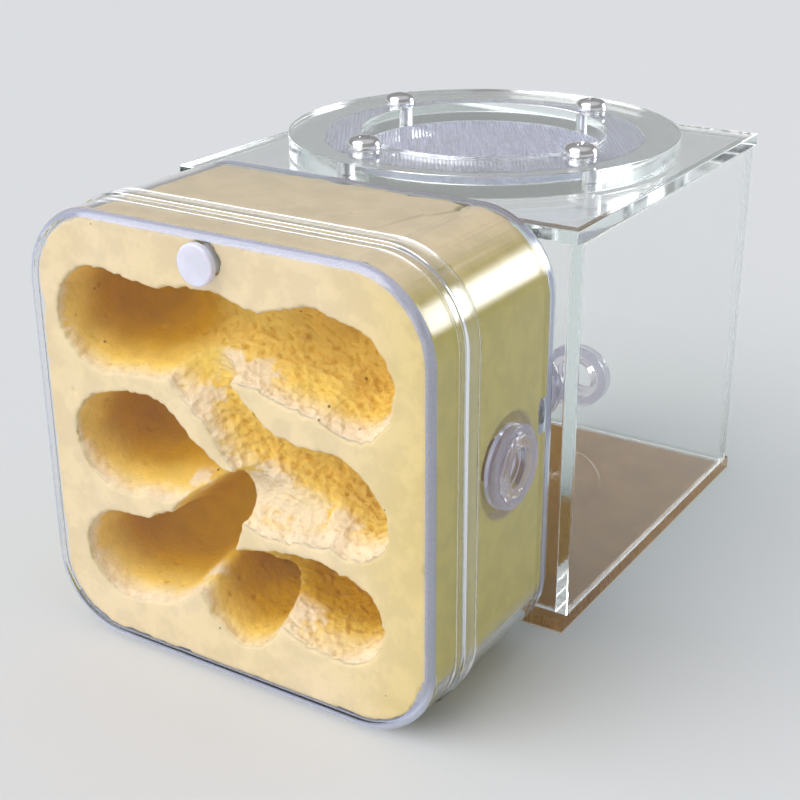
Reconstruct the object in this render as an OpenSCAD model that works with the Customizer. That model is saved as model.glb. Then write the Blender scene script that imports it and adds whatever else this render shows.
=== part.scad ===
// Ant habitat. A clear rounded nest box holds a plaster block carved with galleries, and a short tube
// couples it to a clear foraging box with a vented lift-off lid. Millimetres, +Z up, and the galleries
// look along -Y. The nest and the foraging box both stand on z = 0.

/* [Nest box] */
// Width of the nest box
nest_w = 100; // [96:1:130]
// Height of the nest box
nest_h = 100; // [96:1:130]
// Depth of the nest box with its cover on
nest_d = 50; // [48:1:70]
// Corner radius of the nest box, seen from the front
corner_r = 18; // [14:0.5:22]
// Rounding of the cover's front edge and the shell's rear edge
edge_r = 2.4; // [1:0.1:3]
// Wall thickness of the rear shell
shell_wall = 2; // [1.6:0.1:2.4]

/* [Front cover] */
// Depth of the cover, from its face to the end of its lip
cover_d = 17; // [14:0.5:20]
// Thickness of the cover's face
cover_face = 2; // [1.5:0.1:3]
// Thickness of the cover's skirt
cover_wall = 1.7; // [1.4:0.1:1.8]
// Height of the lip above the skirt
lip_proud = 0.7; // [0.5:0.1:1.5]
// Length of the lip
lip_len = 5; // [3:0.5:6]
// Length of the shell's tongue inside the lip
tongue_len = 6; // [4:0.5:8]
// Thickness of the shell's tongue
tongue_t = 1; // [0.8:0.1:1.2]

/* [Plaster block] */
// Radius of the recess in the plaster round a port's inner flange
port_recess_r = 11.3; // [9.5:0.1:12]
// Depth of the recess behind a port
port_recess_d = 3.3; // [2.5:0.1:5]
// Radius of the ways that lead from the ports to the galleries
way_r = 5; // [3.5:0.1:6]

/* [Water plug] */
// Diameter of the water plug's head
plug_head_d = 8.8; // [8:0.1:11]
// How far the head stands off the cover
plug_proud = 1.5; // [1:0.1:3]
// Diameter of the plug's stem
plug_stem_d = 6; // [4:0.1:7]
// Length of the stem behind the cover's front face
plug_stem_len = 8; // [5:0.5:10]
// Distance of the plug's centre from the top of the nest box
plug_drop = 6.2; // [6:0.1:9]
// Distance of the plug's centre to the left of the middle
plug_left = 2.5; // [-10:0.5:10]

/* [Silicone ports] */
// Diameter of a port's flanges
port_flange_d = 18; // [16:0.5:18.5]
// Diameter of the raised ring on a port's outer face
port_ring_d = 14.8; // [14:0.1:15.5]
// Diameter of a port's bore, which a tube of this size fits
port_bore_d = 9; // [7:0.5:10]
// Diameter of the neck that sits in the wall
port_neck_d = 13; // [12:0.5:13.5]
// Thickness of each flange
port_flange_t = 1.1; // [0.8:0.1:1.6]
// Height of the raised ring above the wall
port_proud = 2; // [1.7:0.1:2.4]
// Distance of the side port's axis in front of the nest's rear face
side_port_in = 18.3; // [17:0.1:22]
// Height of the side port's axis above the nest's underside
side_port_z = 51.2; // [44:0.1:56]
// Distance of the link port's axis in from the right side of the narrower box
link_port_in = 13; // [12:0.1:16]
// Height of the link port's axis above the nest's underside
link_port_z = 56.7; // [50:0.1:62]
// Distance of the foraging box's rear port to the right of its middle
rear_port_x = 5.8; // [-30:0.1:30]
// Height of the rear port's axis above the foraging box's floor
rear_port_z = 16.4; // [12:0.1:40]
// Bore of the clear tube that joins the two boxes
link_bore_d = 6.4; // [4:0.1:6.6]

/* [Foraging box] */
// Outside width of the foraging box
box_w = 105.6; // [104:0.1:140]
// Outside depth of the foraging box's walls
box_d = 98.6; // [98:0.1:140]
// Height of the foraging box with its lid on
box_h = 95; // [80:0.5:130]
// Thickness of the acrylic sheet
sheet_t = 3; // [2.5:0.1:4]
// How far the lid and the base reach past the front and rear walls
overhang = 2.5; // [1:0.1:6]
// Thickness of the masking sheet left under the base
film_t = 0.2; // [0.1:0.05:0.4]
// Gap between the nest and the foraging box
link_gap = 8.4; // [5:0.1:15]
// How far the middle of the nest stands to the right of the foraging box's middle
nest_shift = 2; // [-2:0.1:3]

/* [Vent] */
// How far the vent's middle stands to the right of the foraging box's middle
vent_shift = 1; // [-2:0.1:2]
// Outside diameter of the vent ring
vent_d = 96; // [88:1:98]
// Diameter of the vent hole in the ring and in the lid
vent_hole_d = 60; // [44:1:61]
// Thickness of the vent ring
vent_t = 5; // [3:0.1:8]
// Diameter of the steel mesh disc under the ring
mesh_d = 79; // [77:0.5:84]
// Thickness of the mesh disc
mesh_t = 0.4; // [0.3:0.05:0.8]
// Pitch of the strands that stand for the finer woven wire
mesh_pitch = 4.4; // [4.2:0.1:6]
// Width of one strand
mesh_strand = 0.8; // [0.4:0.1:1.2]
// Diameter of the circle that the screws sit on
screw_circle_d = 71; // [70:0.5:72]
// Angle of the first screw from +X
screw_turn = -22; // [-45:1:45]
// Thread diameter of the screws
screw_d = 4; // [3:0.5:4]
// Diameter of a screw's head
screw_head_d = 8; // [6:0.1:8.5]
// Height of a screw's head
screw_head_h = 2.7; // [2:0.1:3.2]
// Length of a screw under its head
screw_len = 8; // [7:0.5:8]

/* [Fits] */
// Clearance between the cover and the shell's tongue
cover_gap = 0.2; // [0.1:0.05:0.3]
// Gap between the plaster and the cast shell
cast_gap = 0.15; // [0.05:0.05:0.3]
// Gap where one piece rests on another that it lifts off
seat_gap = 0.1; // [0.05:0.05:0.3]
// Gap between the cover's face and the plaster
face_gap = 0.3; // [0.1:0.05:0.6]
// Radial clearance of a neck, stem or screw in its hole
hole_gap = 0.08; // [0.05:0.01:0.1]

/* [Hidden] */
$fn = 96;
eps = 0.01;       // overlap that keeps cuts clean
curve_fn = 32;    // facets round a hull's corner and a gallery
screws = 4;       // screws in the vent ring
loose_gap = 0.2;  // radial clearance where a screw passes the ring and the mesh

// Nest box, front face at y = 0
nest_z0 = lip_proud;
nest_left = nest_shift - nest_w / 2;
nest_right = nest_shift + nest_w / 2;
nest_mid_z = nest_z0 + nest_h / 2;
tongue_y0 = cover_d - tongue_len;
shell_y0 = cover_d + seat_gap;
cavity_w = nest_w - 2 * shell_wall;
cavity_h = nest_h - 2 * shell_wall;
cavity_r = corner_r - shell_wall;

// Plaster block, cast into the shell and standing forward into the cover
plaster_w = cavity_w - 2 * cast_gap;
plaster_h = cavity_h - 2 * cast_gap;
plaster_r = cavity_r - cast_gap;
plaster_y0 = cover_face + face_gap;
plaster_y1 = nest_d - shell_wall - cast_gap;
plaster_d = plaster_y1 - plaster_y0;
plaster_left = nest_shift - plaster_w / 2;
plaster_z0 = nest_mid_z - plaster_h / 2;

// Axes of the plug and the ports
plug_x = nest_shift - plug_left;
plug_z = nest_z0 + nest_h - plug_drop;
side_y = nest_d - side_port_in;
side_z = nest_z0 + side_port_z;
link_x = min(nest_right, box_w / 2) - link_port_in;
link_z = nest_z0 + link_port_z;
tube_gap = 0.08;                       // radial clearance of the tube in a port's bore
tube_reach = 2.5;                      // how far the tube passes a wall's inner face

// Foraging box
box_y0 = nest_d + link_gap;
box_y1 = box_y0 + box_d;
box_mid_y = (box_y0 + box_y1) / 2;
base_top = film_t + sheet_t;
lid_z0 = box_h - sheet_t;
wall_h = lid_z0 - seat_gap - base_top;
rear_z = base_top + rear_port_z;
panel_w = box_w - 2 * sheet_t;
plate_d = box_d + 2 * overhang;

// The origin is the middle of the whole object, on the floor
reach_left = min(-box_w / 2, nest_left - lip_proud);
reach_right = max(box_w / 2, nest_right + max(port_proud, lip_proud));
reach_rear = box_y1 + max(overhang, port_proud);
mid_x = (reach_left + reach_right) / 2;
mid_y = (reach_rear - plug_proud) / 2;

// Galleries. Each row is one station: [across, up, radius, depth] of the round mouth carved there, in
// hundredths of the block's width, height, width and depth. A gallery is the row of bowls between its
// stations, and where two galleries' stations meet, the ants walk through.
upper_gallery = [[17, 77.6, 12, 50], [32, 77, 9.8, 36], [46, 80.5, 9.6, 30], [61, 78, 8.4, 30],
                 [73.5, 79, 11.8, 38], [82.5, 78, 9.8, 36], [82, 74.5, 10.2, 38]];
falling_gallery = [[42, 71, 7.2, 18], [50, 62.8, 6.6, 20], [55.5, 56.5, 7.6, 24]];
right_gallery = [[55.5, 56.5, 7.6, 24], [67, 51.5, 8.6, 32], [77.5, 50, 10.3, 36], [82, 46.8, 9.4, 34]];
left_gallery = [[19, 48.8, 11.9, 50], [28, 50, 12.6, 44], [37.5, 47.5, 7.9, 26], [48, 44.9, 4.6, 14]];
saddle = [[48, 44.9, 4.6, 14], [60.5, 42.8, 6.6, 16], [73, 44.5, 6.6, 18]];
lower_gallery = [[18.7, 20.2, 11.3, 46], [30, 21.8, 10.4, 44], [39, 28, 9.4, 40], [46.5, 37.5, 7.6, 36],
                 [48.2, 42.6, 4.8, 24]];
deep_well = [[46.5, 21.5, 6.8, 16], [52.6, 18.2, 10.6, 62]];
corner_gallery = [[55.5, 24, 8, 12], [62.5, 24.5, 9.2, 16], [71.5, 23.8, 11.1, 38],
                  [79.3, 22.6, 10.7, 42]];
galleries = [upper_gallery, falling_gallery, right_gallery, left_gallery, saddle, lower_gallery,
             deep_well, corner_gallery];
bowl_steps = 5;       // steps down a bowl's side
bowl_square = 0.7;    // 1 is a round bowl, and less has steeper sides and a flatter floor
bowl_lift = 0.2;      // how far a bowl lies above its mouth, which slopes the lower lip
mouth_d = 0.6;        // straight edge of a mouth
pocket_gap = 1;       // gap round the plug's stem in its pocket
plug_drain_d = 2.4;   // drain from the plug's pocket to the upper gallery

function block_x(part) = plaster_left + plaster_w * part / 100;
function block_z(part) = plaster_z0 + plaster_h * part / 100;
function block_y(part) = plaster_y0 + plaster_d * part / 100;
function bowl_outline(r, depth) =
    concat([[0, 0]], [for (i = [0 : bowl_steps]) let (a = 90 * i / bowl_steps)
        [r * pow(cos(a), bowl_square), depth * pow(sin(a), bowl_square)]]);
function screw_angle(i) = screw_turn + i * 360 / screws;
function screw_at(i) = screw_circle_d / 2 * [cos(screw_angle(i)), sin(screw_angle(i))];

// Moves a piece from the nest's frame, with y = 0 on its face, to the object's frame
module place() { translate([-mid_x, -mid_y, 0]) children(); }

// Points a solid that stands along +Z along another axis
module along_y() { rotate([-90, 0, 0]) children(); }
module along_x() { rotate([0, 90, 0]) children(); }

module rounded_rect(w, h, r) {
    square([w - 2 * r, h], center = true);
    square([w, h - 2 * r], center = true);
    for (x = [-1, 1], y = [-1, 1]) translate([x * (w / 2 - r), y * (h / 2 - r)]) circle(r);
}

// A rounded rectangle drawn out along Y round the nest's middle
module nest_prism(w, h, r, y0, y1) {
    translate([nest_shift, y0, nest_mid_z]) along_y() linear_extrude(y1 - y0) rounded_rect(w, h, r);
}

// The same with its edge rounded at y0, or at y1 where rear is true
module nest_soft_prism(w, h, r, y0, y1, rear = false) {
    ring_y = rear ? y1 - edge_r : y0 + edge_r;
    flat_y = rear ? y0 : y0 + edge_r;
    hull()
        for (x = [-1, 1], z = [-1, 1])
            translate([nest_shift + x * (w / 2 - r), 0, nest_mid_z + z * (h / 2 - r)]) {
                translate([0, flat_y, 0]) along_y()
                    cylinder(r = r, h = y1 - y0 - edge_r, $fn = curve_fn);
                translate([0, ring_y, 0]) along_y()
                    rotate_extrude($fn = curve_fn) translate([r - edge_r, 0]) circle(edge_r, $fn = 16);
            }
}

// A silicone port. Its wall's outer face is at z = 0 and the port faces +Z
module port(wall_t) {
    r_bore = port_bore_d / 2;
    r_flange = port_flange_d / 2;
    r_ring = port_ring_d / 2;
    r_neck = port_neck_d / 2;
    soft = 0.4;
    back = -wall_t - port_flange_t;
    rotate_extrude()
        polygon([[r_bore, port_proud - soft], [r_bore + soft, port_proud], [r_ring - soft, port_proud],
                 [r_ring, port_proud - soft], [r_ring, port_flange_t], [r_flange - soft, port_flange_t],
                 [r_flange, port_flange_t - soft], [r_flange, 0], [r_neck, 0], [r_neck, -wall_t],
                 [r_flange, -wall_t], [r_flange, back + soft], [r_flange - soft, back],
                 [r_bore + soft, back], [r_bore, back + soft]]);
}

module port_hole(wall_t) {
    translate([0, 0, -wall_t - 1]) cylinder(d = port_neck_d + 2 * hole_gap, h = wall_t + 2);
}

module at_side_port() { translate([nest_right, side_y, side_z]) along_x() children(); }
module at_nest_link() { translate([link_x, nest_d, link_z]) along_y() children(); }
module at_box_link() { translate([link_x, box_y0, link_z]) rotate([90, 0, 0]) children(); }
module at_rear_port() { translate([rear_port_x, box_y1, rear_z]) along_y() children(); }

// One station's bowl, opening through the block's face with its lower lip sloped outwards
module bowl(station) {
    mouth_r = plaster_w * station[2] / 100;
    lift = bowl_lift * mouth_r;
    translate([block_x(station[0]), plaster_y0, block_z(station[1])]) along_y() {
        translate([0, 0, -mouth_d]) cylinder(r = mouth_r, h = 2 * mouth_d, $fn = curve_fn);
        translate([0, -lift, 0]) rotate_extrude($fn = curve_fn)
            polygon(bowl_outline(mouth_r - lift, plaster_d * station[3] / 100));
    }
}

module gallery(stations) {
    for (i = [0 : len(stations) - 2]) hull() { bowl(stations[i]); bowl(stations[i + 1]); }
}

module way(a, b) {
    hull() for (p = [a, b]) translate(p) sphere(way_r, $fn = curve_fn - 12);
}

module front_cover() {
    color([0.86, 0.92, 0.96, 0.35]) place() difference() {
        union() {
            nest_soft_prism(nest_w, nest_h, corner_r, 0, cover_d);
            nest_prism(nest_w + 2 * lip_proud, nest_h + 2 * lip_proud, corner_r + lip_proud,
                       cover_d - lip_len, cover_d);
        }
        nest_prism(nest_w - 2 * cover_wall, nest_h - 2 * cover_wall, corner_r - cover_wall,
                   cover_face, cover_d + 1);
        nest_prism(cavity_w + 2 * (tongue_t + cover_gap), cavity_h + 2 * (tongue_t + cover_gap),
                   cavity_r + tongue_t + cover_gap, tongue_y0 - cover_gap, cover_d + 1);
        translate([plug_x, -1, plug_z]) along_y()
            cylinder(d = plug_stem_d + 2 * hole_gap, h = cover_face + 2);
    }
}

module water_plug() {
    head_r = plug_head_d / 2;
    stem_r = plug_stem_d / 2;
    soft = 0.5;
    color([0.86, 0.88, 0.95]) place() translate([plug_x, 0, plug_z]) along_y() rotate_extrude()
        polygon([[0, -plug_proud], [head_r - soft, -plug_proud], [head_r, soft - plug_proud],
                 [head_r, 0], [stem_r, 0], [stem_r, plug_stem_len - 2 * soft],
                 [stem_r - soft, plug_stem_len], [0, plug_stem_len]]);
}

module nest_shell() {
    color([0.86, 0.92, 0.96, 0.35]) place() difference() {
        union() {
            nest_soft_prism(nest_w, nest_h, corner_r, shell_y0, nest_d, rear = true);
            nest_prism(cavity_w + 2 * tongue_t, cavity_h + 2 * tongue_t, cavity_r + tongue_t,
                       tongue_y0, shell_y0 + eps);
        }
        nest_prism(cavity_w, cavity_h, cavity_r, tongue_y0 - 1, nest_d - shell_wall);
        at_side_port() port_hole(shell_wall);
        at_nest_link() port_hole(shell_wall);
    }
}

module plaster_block() {
    plaster_right = plaster_left + plaster_w;
    last = right_gallery[len(right_gallery) - 1];
    drain_z = block_z(upper_gallery[2][1]);
    bend = [(block_x(last[0]) + link_x) / 2, side_y, side_z];
    color([0.95, 0.87, 0.70]) place() difference() {
        nest_prism(plaster_w, plaster_h, plaster_r, plaster_y0, plaster_y1, $fn = 2 * curve_fn);
        for (stations = galleries) gallery(stations);
        // recesses behind the side port and the link port
        translate([plaster_right - port_recess_d, side_y, side_z]) along_x()
            cylinder(r = port_recess_r, h = port_recess_d + 1, $fn = 2 * curve_fn);
        translate([link_x, plaster_y1 - port_recess_d, link_z]) along_y()
            cylinder(r = port_recess_r, h = port_recess_d + 1, $fn = 2 * curve_fn);
        // ways from both recesses to one bend, and from there out to the right gallery
        way([plaster_right - port_recess_d, side_y, side_z], bend);
        way([link_x, plaster_y1 - port_recess_d, link_z], [link_x, side_y, link_z]);
        way([link_x, side_y, link_z], bend);
        way(bend, [bend[0], block_y(last[3] / 2), side_z]);
        // pocket behind the water plug, with a drain down into the upper gallery
        translate([plug_x, plaster_y0 - 1, plug_z]) along_y()
            cylinder(d = plug_stem_d + 2 * pocket_gap, h = plug_stem_len + 1, $fn = curve_fn);
        translate([plug_x, plaster_y0 + plug_stem_len / 2, drain_z])
            cylinder(d = plug_drain_d, h = plug_z - drain_z, $fn = 16);
    }
}

module side_port() { color([0.72, 0.78, 0.92]) place() at_side_port() port(shell_wall); }
module nest_link_port() { color([0.72, 0.78, 0.92]) place() at_nest_link() port(shell_wall); }
module box_link_port() { color([0.72, 0.78, 0.92]) place() at_box_link() port(sheet_t); }
module rear_port() { color([0.72, 0.78, 0.92]) place() at_rear_port() port(sheet_t); }

module link_tube() {
    y0 = nest_d - shell_wall - tube_reach;
    y1 = box_y0 + sheet_t + tube_reach;
    color([0.80, 0.90, 0.92]) place() translate([link_x, y0, link_z]) along_y() difference() {
        cylinder(r = port_bore_d / 2 - tube_gap, h = y1 - y0);
        translate([0, 0, -1]) cylinder(d = link_bore_d, h = y1 - y0 + 2);
    }
}

// A wall between the two side walls, its outer face at y
module cross_panel(y) {
    translate([-panel_w / 2, y, base_top]) cube([panel_w, sheet_t, wall_h]);
}

module front_panel() {
    color([0.75, 0.86, 0.80, 0.3]) place() difference() {
        cross_panel(box_y0);
        at_box_link() port_hole(sheet_t);
    }
}

module rear_panel() {
    color([0.75, 0.86, 0.80, 0.3]) place() difference() {
        cross_panel(box_y1 - sheet_t);
        at_rear_port() port_hole(sheet_t);
    }
}

module side_panel(side) {
    x = side > 0 ? box_w / 2 - sheet_t : -box_w / 2;
    color([0.75, 0.86, 0.80, 0.3]) place()
        translate([x, box_y0, base_top]) cube([sheet_t, box_d, wall_h]);
}
module left_panel() { side_panel(-1); }
module right_panel() { side_panel(1); }

// A plate over the walls' whole plan, its underside at z
module plate(z, t) {
    translate([-box_w / 2, box_y0 - overhang, z]) cube([box_w, plate_d, t]);
}

module base_panel() { color([0.60, 0.45, 0.30, 0.6]) place() plate(film_t, sheet_t); }
module base_masking_sheet() { color([0.62, 0.43, 0.24]) place() plate(0, film_t); }

// Puts children at the middle of the vent, on the lid's top face
module on_lid(z = 0) { translate([vent_shift, box_mid_y, box_h + z]) children(); }
module at_screws() { for (i = [0 : screws - 1]) translate(screw_at(i)) children(); }

module lid_panel() {
    color([0.75, 0.86, 0.80, 0.3]) place() difference() {
        plate(lid_z0, sheet_t);
        on_lid(-sheet_t - 1) cylinder(d = vent_hole_d, h = sheet_t + 2);
        on_lid(-sheet_t - 1) at_screws() cylinder(d = screw_d + 2 * hole_gap, h = sheet_t + 2);
    }
}

module vent_ring() {
    color([0.80, 0.90, 0.86, 0.35]) place() on_lid(mesh_t) difference() {
        cylinder(d = vent_d, h = vent_t);
        translate([0, 0, -1]) cylinder(d = vent_hole_d, h = vent_t + 2);
        translate([0, 0, -1]) at_screws() cylinder(d = screw_d + 2 * loose_gap, h = vent_t + 2);
    }
}

// The mesh is a sheet with square gaps, left whole round each screw and at its rim
module vent_mesh() {
    half = floor(mesh_d / 2 / mesh_pitch);
    gap = mesh_pitch - mesh_strand;
    rim = 1.2;
    color([0.80, 0.80, 0.86]) place() on_lid() difference() {
        cylinder(d = mesh_d, h = mesh_t);
        translate([0, 0, -1]) at_screws() cylinder(d = screw_d + 2 * loose_gap, h = mesh_t + 2);
        translate([0, 0, -1]) linear_extrude(mesh_t + 2)
            for (i = [-half : half], j = [-half : half])
                let (at = mesh_pitch * [i, j],
                     near = min([for (k = [0 : screws - 1]) norm(at - screw_at(k))]))
                    if (norm(at) + gap * sqrt(0.5) < mesh_d / 2 - rim && near > screw_d / 2 + gap)
                        translate(at) square(gap, center = true);
    }
}

module vent_screws() {
    r = screw_head_d / 2;
    crown_r = 2 * r;
    slot = [1.1 * r, 0.26 * r, screw_head_h];
    color([0.88, 0.88, 0.92]) place() on_lid(mesh_t + vent_t) at_screws() difference() {
        union() {
            translate([0, 0, -screw_len]) cylinder(d = screw_d, h = screw_len + eps);
            // pan head: a straight side under a low crown
            rotate_extrude() intersection() {
                square([r, screw_head_h]);
                translate([0, screw_head_h - crown_r]) circle(crown_r);
            }
        }
        for (turn = [0, 90]) rotate(turn) translate([0, 0, screw_head_h]) cube(slot, center = true);
    }
}

front_cover();
water_plug();
nest_shell();
plaster_block();
side_port();
nest_link_port();
box_link_port();
link_tube();
rear_port();
front_panel();
rear_panel();
left_panel();
right_panel();
base_panel();
base_masking_sheet();
lid_panel();
vent_ring();
vent_mesh();
vent_screws();
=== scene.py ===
"""Ant habitat: a clear moulded nest box round a carved plaster block, coupled to a clear sheet-built
foraging box with a vented lift-off lid. Lengths in the size classes are millimetres."""
import logging
import math
from contextlib import contextmanager
from dataclasses import dataclass, field
from enum import Enum
from functools import reduce
from typing import Any, Callable, ClassVar, Iterable, Iterator, Sequence

import bmesh
import bpy
import numpy as np
from bpy.types import AreaLight, Material, Mesh, MeshPolygon, Node, NodeSocket, NodeTree, Object
from mathutils import Matrix, Vector


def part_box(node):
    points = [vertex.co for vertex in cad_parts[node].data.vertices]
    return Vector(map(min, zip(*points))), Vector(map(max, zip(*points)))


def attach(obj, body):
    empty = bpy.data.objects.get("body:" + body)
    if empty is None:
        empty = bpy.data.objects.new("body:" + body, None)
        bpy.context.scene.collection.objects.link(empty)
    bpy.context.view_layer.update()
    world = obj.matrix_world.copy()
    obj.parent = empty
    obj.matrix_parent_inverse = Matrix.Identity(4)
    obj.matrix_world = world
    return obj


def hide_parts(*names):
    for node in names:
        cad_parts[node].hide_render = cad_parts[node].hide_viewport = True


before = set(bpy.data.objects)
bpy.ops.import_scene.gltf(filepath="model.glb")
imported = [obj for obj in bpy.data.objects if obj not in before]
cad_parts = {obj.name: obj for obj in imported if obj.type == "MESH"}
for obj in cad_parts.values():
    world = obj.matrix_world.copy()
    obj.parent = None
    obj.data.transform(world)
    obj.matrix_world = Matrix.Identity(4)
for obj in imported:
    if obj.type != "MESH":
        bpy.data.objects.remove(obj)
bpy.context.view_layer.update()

LOG = logging.getLogger("ant_habitat")
MM = 0.001
SMOOTH_ANGLE = math.radians(32)
SHEET_SMOOTH_ANGLE = math.radians(12)
SAME_PLACE = 0.0005 * MM
FAR = 1000.0
ACRYLIC_IOR = 1.49
Array = np.ndarray
Colour = tuple[float, float, float]
Profile = list[tuple[float, float]]
Feeds = dict[Any, Any]


class Facing(Enum):
    """The way that a turned piece's axis points."""

    UP = Matrix.Identity(4)
    RIGHT = Matrix.Rotation(math.radians(90), 4, "Y")
    REAR = Matrix.Rotation(math.radians(-90), 4, "X")
    FRONT = Matrix.Rotation(math.radians(90), 4, "X")


class SheetAxis(Enum):
    """The axis across a sheet's thickness. Faces that look along it are polished, the others are sawn."""

    X = (1.0, 0.0, 0.0)
    Y = (0.0, 1.0, 0.0)
    Z = (0.0, 0.0, 1.0)


class Slot(Enum):
    """The record's material slots."""

    MOULDED = "clear_moulded_plastic"
    PLASTER = "plaster"
    SILICONE = "silicone"
    TUBE = "clear_tube"
    ACRYLIC = "clear_acrylic"
    BASE = "brown_acrylic"
    PAPER = "masking_sheet"
    CLOTH = "steel_mesh"
    SCREW = "steel_screws"


# ---------------------------------------------------------------------------------------------
# Meshes
# ---------------------------------------------------------------------------------------------


@contextmanager
def editing(mesh: Mesh) -> Iterator[Any]:
    """Opens a mesh for editing and writes it back at the end.

    Args:
        mesh: The mesh.

    Yields:
        Its editable form.
    """
    work = bmesh.new()
    work.from_mesh(mesh)
    yield work
    work.to_mesh(mesh)
    work.free()


def build_mesh(name: str, points: Sequence[Sequence[float]], faces: Sequence[Sequence[int]]) -> Mesh:
    """Makes a smooth-shaded mesh whose edges sharper than SMOOTH_ANGLE stay crisp.

    Args:
        name: The mesh's name.
        points: Vertex positions in metres.
        faces: Vertex numbers of each face.

    Returns:
        The mesh, with its normals facing out.
    """
    mesh = bpy.data.meshes.new(name)
    mesh.from_pydata([tuple(p) for p in points], [], [tuple(f) for f in faces])
    with editing(mesh) as work:
        bmesh.ops.remove_doubles(work, verts=work.verts, dist=SAME_PLACE)
        bmesh.ops.recalc_face_normals(work, faces=work.faces)
    soften(mesh)
    return mesh


def soften(mesh: Mesh, angle: float = SMOOTH_ANGLE) -> None:
    """Shades a mesh smooth apart from edges sharper than an angle."""
    mesh.shade_smooth()
    mesh.set_sharp_from_angle(angle=angle)


def skin(rows: int, columns: int, closed: bool = False) -> list[Sequence[int]]:
    """The faces over rows of points, each row a ring.

    Args:
        rows: How many rows.
        columns: How many points a row has.
        closed: Whether the last row joins the first. If not, a face caps each end.

    Returns:
        The point numbers of each face.
    """
    faces: list[Sequence[int]] = [
        (i * columns + j, i * columns + (j + 1) % columns,
         (i + 1) % rows * columns + (j + 1) % columns, (i + 1) % rows * columns + j)
        for i in range(rows if closed else rows - 1)
        for j in range(columns)
    ]
    return faces if closed else [*faces, range(columns), range((rows - 1) * columns, rows * columns)]


def place(name: str, data: Any, material: Material | None = None) -> Object:
    """Puts a mesh, a light or a camera into the scene.

    Args:
        name: The piece's name.
        data: What it shows.
        material: Its finish.

    Returns:
        The new object.
    """
    piece = bpy.data.objects.new(name, data)
    bpy.context.scene.collection.objects.link(piece)
    if material is not None:
        dress(piece, material)
    return piece


def dress(piece: Object, material: Material) -> None:
    """Gives the whole of a piece one finish."""
    piece.data.materials.clear()
    piece.data.materials.append(material)


def dress_faces(piece: Object, material: Material, chosen: Callable[[MeshPolygon], bool]) -> None:
    """Gives some faces of a piece a finish of their own.

    Args:
        piece: The piece, which already has its main finish.
        material: The second finish.
        chosen: Tells whether a face gets it.
    """
    piece.data.materials.append(material)
    for face in piece.data.polygons:
        face.material_index = int(chosen(face))


def apply_modifiers(piece: Object) -> None:
    """Bakes a piece's modifiers into its mesh.

    Args:
        piece: The piece.
    """
    depsgraph = bpy.context.evaluated_depsgraph_get()
    baked = bpy.data.meshes.new_from_object(piece.evaluated_get(depsgraph), depsgraph=depsgraph)
    piece.modifiers.clear()
    piece.data = baked


def drill(piece: Object, cutters: Iterable[Mesh]) -> None:
    """Cuts closed meshes out of a piece.

    Args:
        piece: The piece that is cut.
        cutters: The meshes that are taken out of it.
    """
    tools = [place(f"{piece.name}_cutter", mesh) for mesh in cutters]
    for tool in tools:
        cut = piece.modifiers.new("drill", "BOOLEAN")
        cut.operation = "DIFFERENCE"
        cut.solver = "EXACT"
        cut.object = tool
    bpy.context.view_layer.update()
    apply_modifiers(piece)
    soften(piece.data)
    for tool in tools:
        bpy.data.objects.remove(tool)


def join_pieces(name: str, pieces: Sequence[Object]) -> Object:
    """Joins pieces with one finish into one.

    Args:
        name: The name of the joined piece.
        pieces: What is joined. Only the first is kept.

    Returns:
        The joined piece.
    """
    joined, *others = pieces
    with editing(joined.data) as work:
        for piece in others:
            work.from_mesh(piece.data)
    soften(joined.data)
    for piece in others:
        bpy.data.objects.remove(piece)
    joined.name = name
    return joined


def lathe(profile: Profile, centre: Vector, facing: Facing, segments: int = 96) -> Mesh:
    """Turns a closed outline round an axis.

    Args:
        profile: The outline as (radius, height) points in millimetres, closed by itself.
        centre: The point in the row frame where the axis has height 0.
        facing: The way that the axis points.
        segments: Faces round the axis.

    Returns:
        The turned mesh, without faces or edges that have collapsed to nothing.
    """
    spin = Matrix.Translation(centre) @ facing.value
    profile = supported(profile, closed=True)
    points = [
        spin @ Vector((r * math.cos(a) * MM, r * math.sin(a) * MM, z * MM))
        for a in (2 * math.pi * i / segments for i in range(segments))
        for r, z in profile
    ]
    count = len(profile)
    faces = [face for face in skin(segments, count, closed=True)
             if profile[face[0] % count][0] > 0 or profile[face[1] % count][0] > 0]
    mesh = build_mesh("turned", points, faces)
    with editing(mesh) as work:
        bmesh.ops.dissolve_degenerate(work, edges=work.edges, dist=SAME_PLACE)
    return mesh


def cylinder(radius: float, start: float, end: float, centre: Vector, facing: Facing) -> Mesh:
    """A plain cylinder in millimetres along facing, from start to end, for drilling."""
    return lathe([(0, start), (radius, start), (radius, end), (0, end)], centre, facing)


def arc(centre: tuple[float, float], radius: float, start: float, end: float, steps: int = 6) -> Profile:
    """Points on an arc.

    Args:
        centre: The arc's centre.
        radius: Its radius.
        start: The angle of the first point in degrees.
        end: The angle of the last point in degrees.
        steps: Spaces between the points.

    Returns:
        The points, both ends included.
    """
    angles = (math.radians(start + (end - start) * i / steps) for i in range(steps + 1))
    return [(centre[0] + radius * math.cos(a), centre[1] + radius * math.sin(a)) for a in angles]


def supported(profile: Profile, closed: bool = False, inset: float = 0.04) -> Profile:
    """Adds points close to both ends of an outline's longer lines, so that smooth shading keeps them flat.

    Args:
        profile: The outline's points in millimetres.
        closed: Whether the last point joins the first.
        inset: How far from a line's ends the points go in.

    Returns:
        The outline with its added points.
    """
    points = []
    for start, end in zip(profile, profile[1:] + profile[:1] if closed else profile[1:]):
        length = math.dist(start, end)
        points.append(start)
        if length > 8 * inset:
            points += [(start[0] + (end[0] - start[0]) * t, start[1] + (end[1] - start[1]) * t)
                       for t in (inset / length, 1 - inset / length)]
    return points if closed else points + [profile[-1]]


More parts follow.
